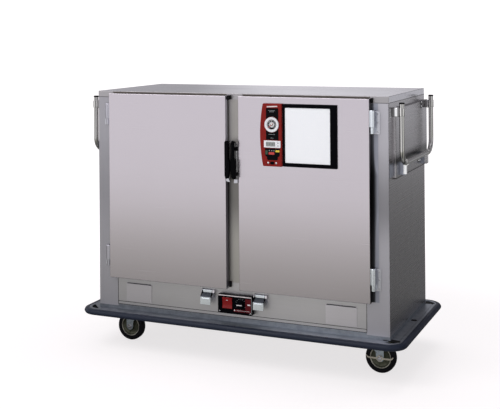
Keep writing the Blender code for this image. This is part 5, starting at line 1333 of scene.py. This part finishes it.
# ============================================================================
# casters
# ============================================================================
for end, sy in (("front", -1.0), ("rear", 1.0)):
    for side, sx in SIDES:
        px, py = sx * SWIVEL_X, sy * CASTER_Y
        tr = -1.0 if end == "rear" else sx
        wx = px + tr * WHEEL_TRAIL
        body = f"caster_{end}_{side}"
        p = Piece(f"caster_horn_{end}_{side}", body, ["zinc", "screw"], "zinc", [f"caster_fork_{end}_{side}"])
        # swivel head: two dished races and the kingpin nut
        p.put(lathe([(0, 171.0), (31.0, 171.0), (33.0, 173.0), (33.2, 178.6), (31.5, 181.0), (28.0, 182.4), (0, 182.4)], (px, py, 0), "z", 48))
        p.put(rod("z", (px, py), 6.0, 170.0, CASTER_TOP - 7.7, 24))
        p.put(lathe([(0, 156.0), (9.5, 156.0), (11.0, 157.5), (11.0, 164.5), (0, 164.5)], (px, py, 0), "z", 6), 1)
        br = round_poly([(px - 30, py - 26), (px + 30, py - 26), (px + 30, py + 26), (px - 30, py + 26)], 9.0, 6)
        p.put(prism(br, "z", 164.0, 172.4, 2.0, 3))
        for q in (-1.0, 1.0):
            w = [(px - tr * 30, 172.0), (px + tr * 36, 172.0), (wx + tr * 19, 118.0), (wx + tr * 19, 57.5), (wx - tr * 19, 57.5), (wx - tr * 21, 104.0), (px - tr * 26, 140.0)]
            w = round_poly(w, [4, 4, 14, 18.5, 18.5, 14, 16], 8)
            p.put(prism(w, "y", py + q * 22.6, py + q * 26.0, 0.9, 2, 50))
            # pressed stiffening rib along the leg
            rib = round_poly([(px - tr * 14, 160.0), (px + tr * 16, 160.0), (wx + tr * 5, 112.0), (wx - tr * 4, 104.0)], 5.0, 6)
            p.put(prism(rib, "y", py + q * 25.8, py + q * 27.0, 0.9, 2, 50) if not (side == "right" and q * sy > 0) else rbox(px - 2, px + 2, py + q * 25, py + q * 26, 150, 158, 0.3))
        fe = py + sy * (41.0 if side == "right" else 33.0)
        be = py - sy * 33.0
        p.put(rod("y", (wx, WHEEL_R), 5.5, min(fe, be), max(fe, be), 24), 1)
        for yy, outw in ((fe, sy), (be, -sy)):
            p.put(lathe([(0, 0), (9.4, 0), (9.4, 5.0), (8.0, 6.2), (0, 6.2)], (wx, yy - outw * 6.6, WHEEL_R), "y", 6, flip=outw), 1)
            p.put(dome((wx, yy - outw * 0.4, WHEEL_R), 4.6, 1.8, "y", outw, 20), 1)
        if side != "right":
            p.put(lathe([(6, 0), (13, 0), (13, 1.4), (6, 1.4)], (wx, py + sy * 26.2, WHEEL_R), "y", 28, closed=True, flip=sy), 1)
        p.put(lathe([(6, 0), (13, 0), (13, 1.4), (6, 1.4)], (wx, py - sy * 26.2, WHEEL_R), "y", 28, closed=True, flip=-sy), 1)
        p.done()

        p = Piece(f"wheel_{end}_{side}_tyre", f"wheel_{end}_{side}", ["tyre", "hub", "hubring", "screw"], "tyre", [f"caster_wheel_{end}_{side}"])
        h = 19.0
        tread = [(53.0, -17.2), (56.0, -18.4), (66.0, -h), (70.5, -18.4), (73.6, -16.4), (75.4, -13.0), (76.0, -8.0), (76.0, 8.0), (75.4, 13.0), (73.6, 16.4), (70.5, 18.4), (66.0, h), (56.0, 18.4), (53.0, 17.2)]
        p.put(lathe(tread, (wx, py, WHEEL_R), "y", 96, closed=True), 0)
        for q in (-1.0, 1.0):
            p.put(lathe([(48.0, 12.5), (49.0, 15.6), (50.6, 16.6), (53.4, 16.2), (54.2, 14.0), (53.0, 10.0), (48.0, 10.0)], (wx, py, WHEEL_R), "y", 96, closed=True, flip=q), 2)
            p.put(lathe([(16.0, 3.0), (16.0, 13.0), (18.5, 12.4), (20.5, 8.6), (27.0, 7.0), (38.0, 6.6), (44.0, 8.8), (47.0, 12.0), (48.6, 12.4), (48.6, 3.0)], (wx, py, WHEEL_R), "y", 96, closed=True, flip=q), 1)
            for i in range(6):
                t = 2 * math.pi * i / 6 + 0.3
                c, w2 = math.cos(t), math.sin(t)
                pts = [(wx + c * r - w2 * v, WHEEL_R + w2 * r + c * v) for r, v in ((19.0, -2.4), (45.0, -1.6), (45.0, 1.6), (19.0, 2.4))]
                ya, yb_ = sorted((py + q * 6.0, py + q * 10.2))
                p.put(prism(pts, "y", ya, yb_, 1.0, 2, 40), 1)
            p.put(lathe([(6.6, 0), (6.6, 20.4), (7.4, 21.0), (13.6, 21.0), (14.6, 20.2), (15.6, 13.0), (16.4, 12.0), (16.4, 0)], (wx, py, WHEEL_R), "y", 48, closed=True, flip=q), 2)
        p.done()

        if side == "right":
            p = Piece(f"brake_bar_{end}", f"brake_{end}", ["brake", "screw"], "zinc", [f"brake_lever_{end}"])
            ya, yb_ = sorted((py + sy * 28.0, py + sy * 33.0))
            p.put(lathe([(6.4, ya), (14.2, ya), (15.2, ya + 0.8), (15.2, yb_ - 0.8), (14.2, yb_), (6.4, yb_)], (wx, 0, WHEEL_R), "y", 48, closed=True), 0)
            p.put(lathe([(6.4, 0), (10.6, 0), (10.6, 1.2), (6.4, 1.2)], (wx, py + sy * 33.0, WHEEL_R), "y", 40, closed=True, flip=sy), 1)
            for k in (-1.0, 1.0):
                arm = [(12.0, 4.2), (50.0, 4.2), (60.0, 6.0), (66.0, 13.0), (70.0, 10.5), (63.0, 0.0), (52.0, -3.4), (12.0, -4.2)]
                arm = round_poly([(wx + k * a_, WHEEL_R + b_) for a_, b_ in arm], [0, 4, 4, 1.6, 1.6, 5, 4, 0], 5)
                p.put(prism(arm, "y", ya + 0.6, yb_ - 0.6, 0.9, 2, 40), 0)
            p.done()

# ============================================================================
# wire racks
# ============================================================================
RX0, RX1, RY0, RY1 = 64.0, 671.0, -322.0, 284.0
for side, s in SIDES:
    p = Piece(f"wire_rack_{side}", "cabinet", ["wire"], "stainless_inner", [f"rack_{side}"])
    for x in (RX0 + 4, RX1 - 4):
        for y in (RY0 + 4, RY1 - 4):
            p.put(lathe([(0, 419.2), (3.4, 419.2), (4.0, 420.0), (4.0, 1260.0), (3.4, 1261.6), (0, 1262.0)], (s * x, y, 0), "z", 16))
    for z in (446.0, 726.0, 1006.0, 1254.0):
        loop = rounded_outline((RX1 - RX0) / 2 - 4, (RY1 - RY0) / 2 - 4, 6.0, 4, s * (RX0 + RX1) / 2, (RY0 + RY1) / 2)
        p.put(sweep([(a, b, z + 3.0) for (a, b), _ in loop], 3.0, 12, closed=True))
        if z < 1200:
            nw = 17
            for i in range(1, nw):
                x = RX0 + 4 + (RX1 - RX0 - 8) * i / nw
                p.put(sweep([(s * x, RY0 + 3.4, z + 3.4), (s * x, (RY0 + RY1) / 2, z + 3.4), (s * x, RY1 - 3.4, z + 3.4)], 1.5, 8))
            for y in (-170.0, -19.0, 132.0):
                p.put(sweep([(s * (RX0 + 3), y, z + 0.9), (s * (RX1 - 3), y, z + 0.9)], 1.8, 8))
    p.done()

# ============================================================================
# stage, light, camera
# ============================================================================


FLAGS = ((161.0, 13.0, 0.66), (77.0, 20.0, 0.78), (-109.0, 12.0, 0.74))


def flags(nt, x, y):
    """Dark studio flags stood at a few bearings round the set, which draw lines along the polished tubes."""
    ang = maths(nt, "ARCTAN2", x, y)
    total = 1.0
    for deg, width, depth in FLAGS:
        off = maths(nt, "ABSOLUTE", maths(nt, "SUBTRACT", ang, D(deg)))
        total = maths(nt, "SUBTRACT", total, maprange(nt, off, D(width * 0.55), D(width), depth, 0.0, smooth=True))
    return total


def stage_mat():
    """Pale sweep: a nearly white glow to the camera over a diffuse floor, while the steel sees a painted glow instead:
    a warmer floor painted darker towards the cart as painted shade, crossed by dark bands as painted reflection.
    """
    m = bpy.data.materials.new("studio_floor")
    m.use_nodes = True
    nt = m.node_tree
    nt.nodes.remove(nt.nodes["Principled BSDF"])
    out = nt.nodes["Material Output"]
    lp = node(nt, "ShaderNodeLightPath")
    geo = node(nt, "ShaderNodeNewGeometry")
    pos = xyz(nt, geo.outputs["Position"])
    ramp = node(nt, "ShaderNodeValToRGB")
    nt.links.new(maprange(nt, pos[1], FLOOR_Y0, FLOOR_Y1, 0.0, 1.0), ramp.inputs["Fac"])
    el = ramp.color_ramp.elements
    stops = sorted(FLOOR_STOPS)
    while len(el) < len(stops):
        el.new(0.5)
    for e, (y, v, b) in zip(el, stops):
        e.position = (y - FLOOR_Y0) / (FLOOR_Y1 - FLOOR_Y0)
        e.color = (v, v, v * b, 1.0)
    glow = node(nt, "ShaderNodeEmission")
    ref = maths(nt, "SUBTRACT", pos[0], 0.3)
    nt.links.new(scaled(nt, ramp.outputs["Color"], flags(nt, ref, pos[1])), glow.inputs["Color"])
    white = node(nt, "ShaderNodeEmission")
    far = node(nt, "ShaderNodeVectorMath", operation="LENGTH")
    nt.links.new(geo.outputs["Position"], far.inputs[0])
    nt.links.new(maprange(nt, far.outputs["Value"], 1.2, 3.6, 0.74, 1.02, smooth=True), white.inputs["Strength"])
    white.inputs["Color"].default_value = (1.0, 0.978, 0.984, 1.0)
    dif = node(nt, "ShaderNodeBsdfDiffuse")
    grain = noise(nt, coords(nt, (40.0,) * 3), 1.0, 3.0)
    tone = mix(nt, lp.outputs["Is Camera Ray"], (0.86, 0.86, 0.865), (0.35, 0.335, 0.34))
    nt.links.new(scaled(nt, tone, maprange(nt, grain, 0.3, 0.7, 0.99, 1.01)), dif.inputs["Color"])
    seen = node(nt, "ShaderNodeMixShader")
    black = node(nt, "ShaderNodeEmission")
    black.inputs["Strength"].default_value = 0.0
    nt.links.new(lp.outputs["Is Camera Ray"], seen.inputs[0])
    nt.links.new(black.outputs[0], seen.inputs[1])
    nt.links.new(white.outputs[0], seen.inputs[2])
    add = node(nt, "ShaderNodeAddShader")
    nt.links.new(dif.outputs[0], add.inputs[0])
    nt.links.new(seen.outputs[0], add.inputs[1])
    final = node(nt, "ShaderNodeMixShader")
    nt.links.new(lp.outputs["Is Glossy Ray"], final.inputs[0])
    nt.links.new(add.outputs[0], final.inputs[1])
    nt.links.new(glow.outputs[0], final.inputs[2])
    nt.links.new(final.outputs[0], out.inputs["Surface"])
    return m


# painted glow that the steel sees on the floor, darker towards the cart as painted shade: (y in metres, brightness, how
# blue)
FLOOR_Y0, FLOOR_Y1 = -12.0, 24.0
FLOOR_STOPS = [(-9.0, 1.0, 1.0), (-5.2, 0.99, 1.0), (-4.5, 0.94, 0.98), (-4.0, 0.86, 0.96), (-3.4, 0.72, 0.94), (-2.8, 0.60, 0.92), (-2.2, 0.50, 0.91),
               (-1.7, 0.42, 0.91), (-1.2, 0.36, 0.92), (-0.5, 0.28, 0.96),
               (0.4, 0.10, 1.0), (1.4, 0.15, 1.0), (3.1, 0.18, 1.0), (5.1, 0.23, 1.0), (7.7, 0.33, 1.02), (10.7, 0.46, 1.03), (14.4, 0.56, 1.04), (19.0, 0.62, 1.05)]

me = bpy.data.meshes.new("studio_floor")
me.from_pydata([(-40, -40, 0), (40, -40, 0), (40, 60, 0), (-40, 60, 0)], [], [(0, 1, 2, 3)])
floor = bpy.data.objects.new("studio_floor", me)
bpy.context.scene.collection.objects.link(floor)
me.materials.append(stage_mat())

world = bpy.data.worlds.new("studio")
bpy.context.scene.world = world
world.use_nodes = True
nt = world.node_tree
bg = nt.nodes["Background"]
tc = node(nt, "ShaderNodeTexCoord")
d = xyz(nt, tc.outputs["Generated"])
# soft room: bright towards the doors' side and the back left, a dark flag at the back right
flag = maths(nt, "ADD", maths(nt, "MULTIPLY", d[0], 0.62), maths(nt, "MULTIPLY", d[1], 0.78))
room = maprange(nt, flag, 0.05, 0.85, 1.0, 0.36, smooth=True)
left = maprange(nt, d[0], 0.1, -0.9, 0.0, 0.10, smooth=True)
up = maprange(nt, d[2], 0.10, 0.75, 1.0, 0.62, smooth=True)
val = maths(nt, "MULTIPLY", maths(nt, "ADD", room, left), up)
# a brighter window-like patch low at the back left, which the lid mirrors
hyp = maths(nt, "SQRT", maths(nt, "ADD", maths(nt, "MULTIPLY", d[0], d[0]), maths(nt, "MULTIPLY", d[1], d[1])))
face = maths(nt, "DIVIDE", maths(nt, "ADD", maths(nt, "MULTIPLY", d[0], math.sin(D(-17.5))), maths(nt, "MULTIPLY", d[1], math.cos(D(-17.5)))), hyp)
patch = maprange(nt, face, math.cos(D(9.5)), math.cos(D(1.0)), 0.60, 1.42, smooth=True)
isback = maprange(nt, face, 0.6, 0.9, 0.0, 1.0, smooth=True)
val = maths(nt, "MULTIPLY", val, maths(nt, "ADD", maths(nt, "SUBTRACT", 1.0, isback), maths(nt, "MULTIPLY", isback, patch)))
val = maths(nt, "MULTIPLY", val, flags(nt, d[0], d[1]))
lp = node(nt, "ShaderNodeLightPath")
col = mix(nt, lp.outputs["Is Camera Ray"], scaled(nt, (0.90, 0.885, 0.93), val), (1.6, 1.6, 1.6))
nt.links.new(col, bg.inputs["Color"])
bg.inputs["Strength"].default_value = 1.0


def area(name, loc, target, size, size_y, power, color=(1, 1, 1)):
    li = bpy.data.lights.new(name, "AREA")
    li.shape = "RECTANGLE"
    li.size, li.size_y, li.energy, li.color = size, size_y, power, color
    ob = bpy.data.objects.new(name, li)
    bpy.context.scene.collection.objects.link(ob)
    ob.location = loc
    ob.rotation_euler = (Vector(target) - Vector(loc)).to_track_quat("-Z", "Y").to_euler()
    return ob


area("key_softbox", (-1.6, -3.2, 4.2), (0.1, 0.0, 0.6), 3.2, 2.4, 95.0, (1.0, 0.99, 0.985))
top = area("top_softbox", (0.6, 1.2, 4.6), (0.2, 0.2, 0.4), 3.0, 3.0, 70.0)
top.visible_glossy = False

k = 1.095
yaw, roll = D(-23.371), D(-0.416)
fwd = Vector((math.sin(yaw), math.cos(yaw), 0))
right = Vector((math.cos(yaw), -math.sin(yaw), 0))
up = right.cross(fwd)
c, s = math.cos(roll), math.sin(roll)
r_, u_ = c * right + s * up, -s * right + c * up
cam = bpy.data.objects.new("camera", bpy.data.cameras.new("camera"))
bpy.context.scene.collection.objects.link(cam)
cam.matrix_world = Matrix(((r_.x, u_.x, -fwd.x, (2606.9 - 725) * k / 1000), (r_.y, u_.y, -fwd.y, (-4169.4 - 320.5) * k / 1000),
                           (r_.z, u_.z, -fwd.z, (1243 + 292.8) * k / 1000), (0, 0, 0, 1)))
cam.data.sensor_width = 36
cam.data.lens = 999.6 / 500 * 36
cam.data.shift_x = 0.0
# The frame is an off-centre crop of the lens's picture, as with a rising front. The shift follows the camera's distance
# from its place, so that the camera is a plain centred one as soon as it stands anywhere else.
SHIFT = -(204.5 - 29.3) / 500
cam.data.shift_y = SHIFT
place = bpy.data.objects.new("camera_place", None)
bpy.context.scene.collection.objects.link(place)
place.location = cam.matrix_world.translation
curve = cam.data.driver_add("shift_y")
curve.driver.type = "AVERAGE"
var = curve.driver.variables.new()
var.type = "LOC_DIFF"
var.targets[0].id, var.targets[1].id = cam, place
for mod in list(curve.modifiers):
    curve.modifiers.remove(mod)
while curve.keyframe_points:
    curve.keyframe_points.remove(curve.keyframe_points[0])
for at, value in ((0.0, SHIFT), (0.05, SHIFT), (0.1, 0.0)):
    curve.keyframe_points.insert(at, value).interpolation = "LINEAR"
curve.extrapolation = "CONSTANT"
cam.data.clip_end = 200
bpy.context.scene.camera = cam
bpy.context.scene.view_settings.view_transform = "Standard"
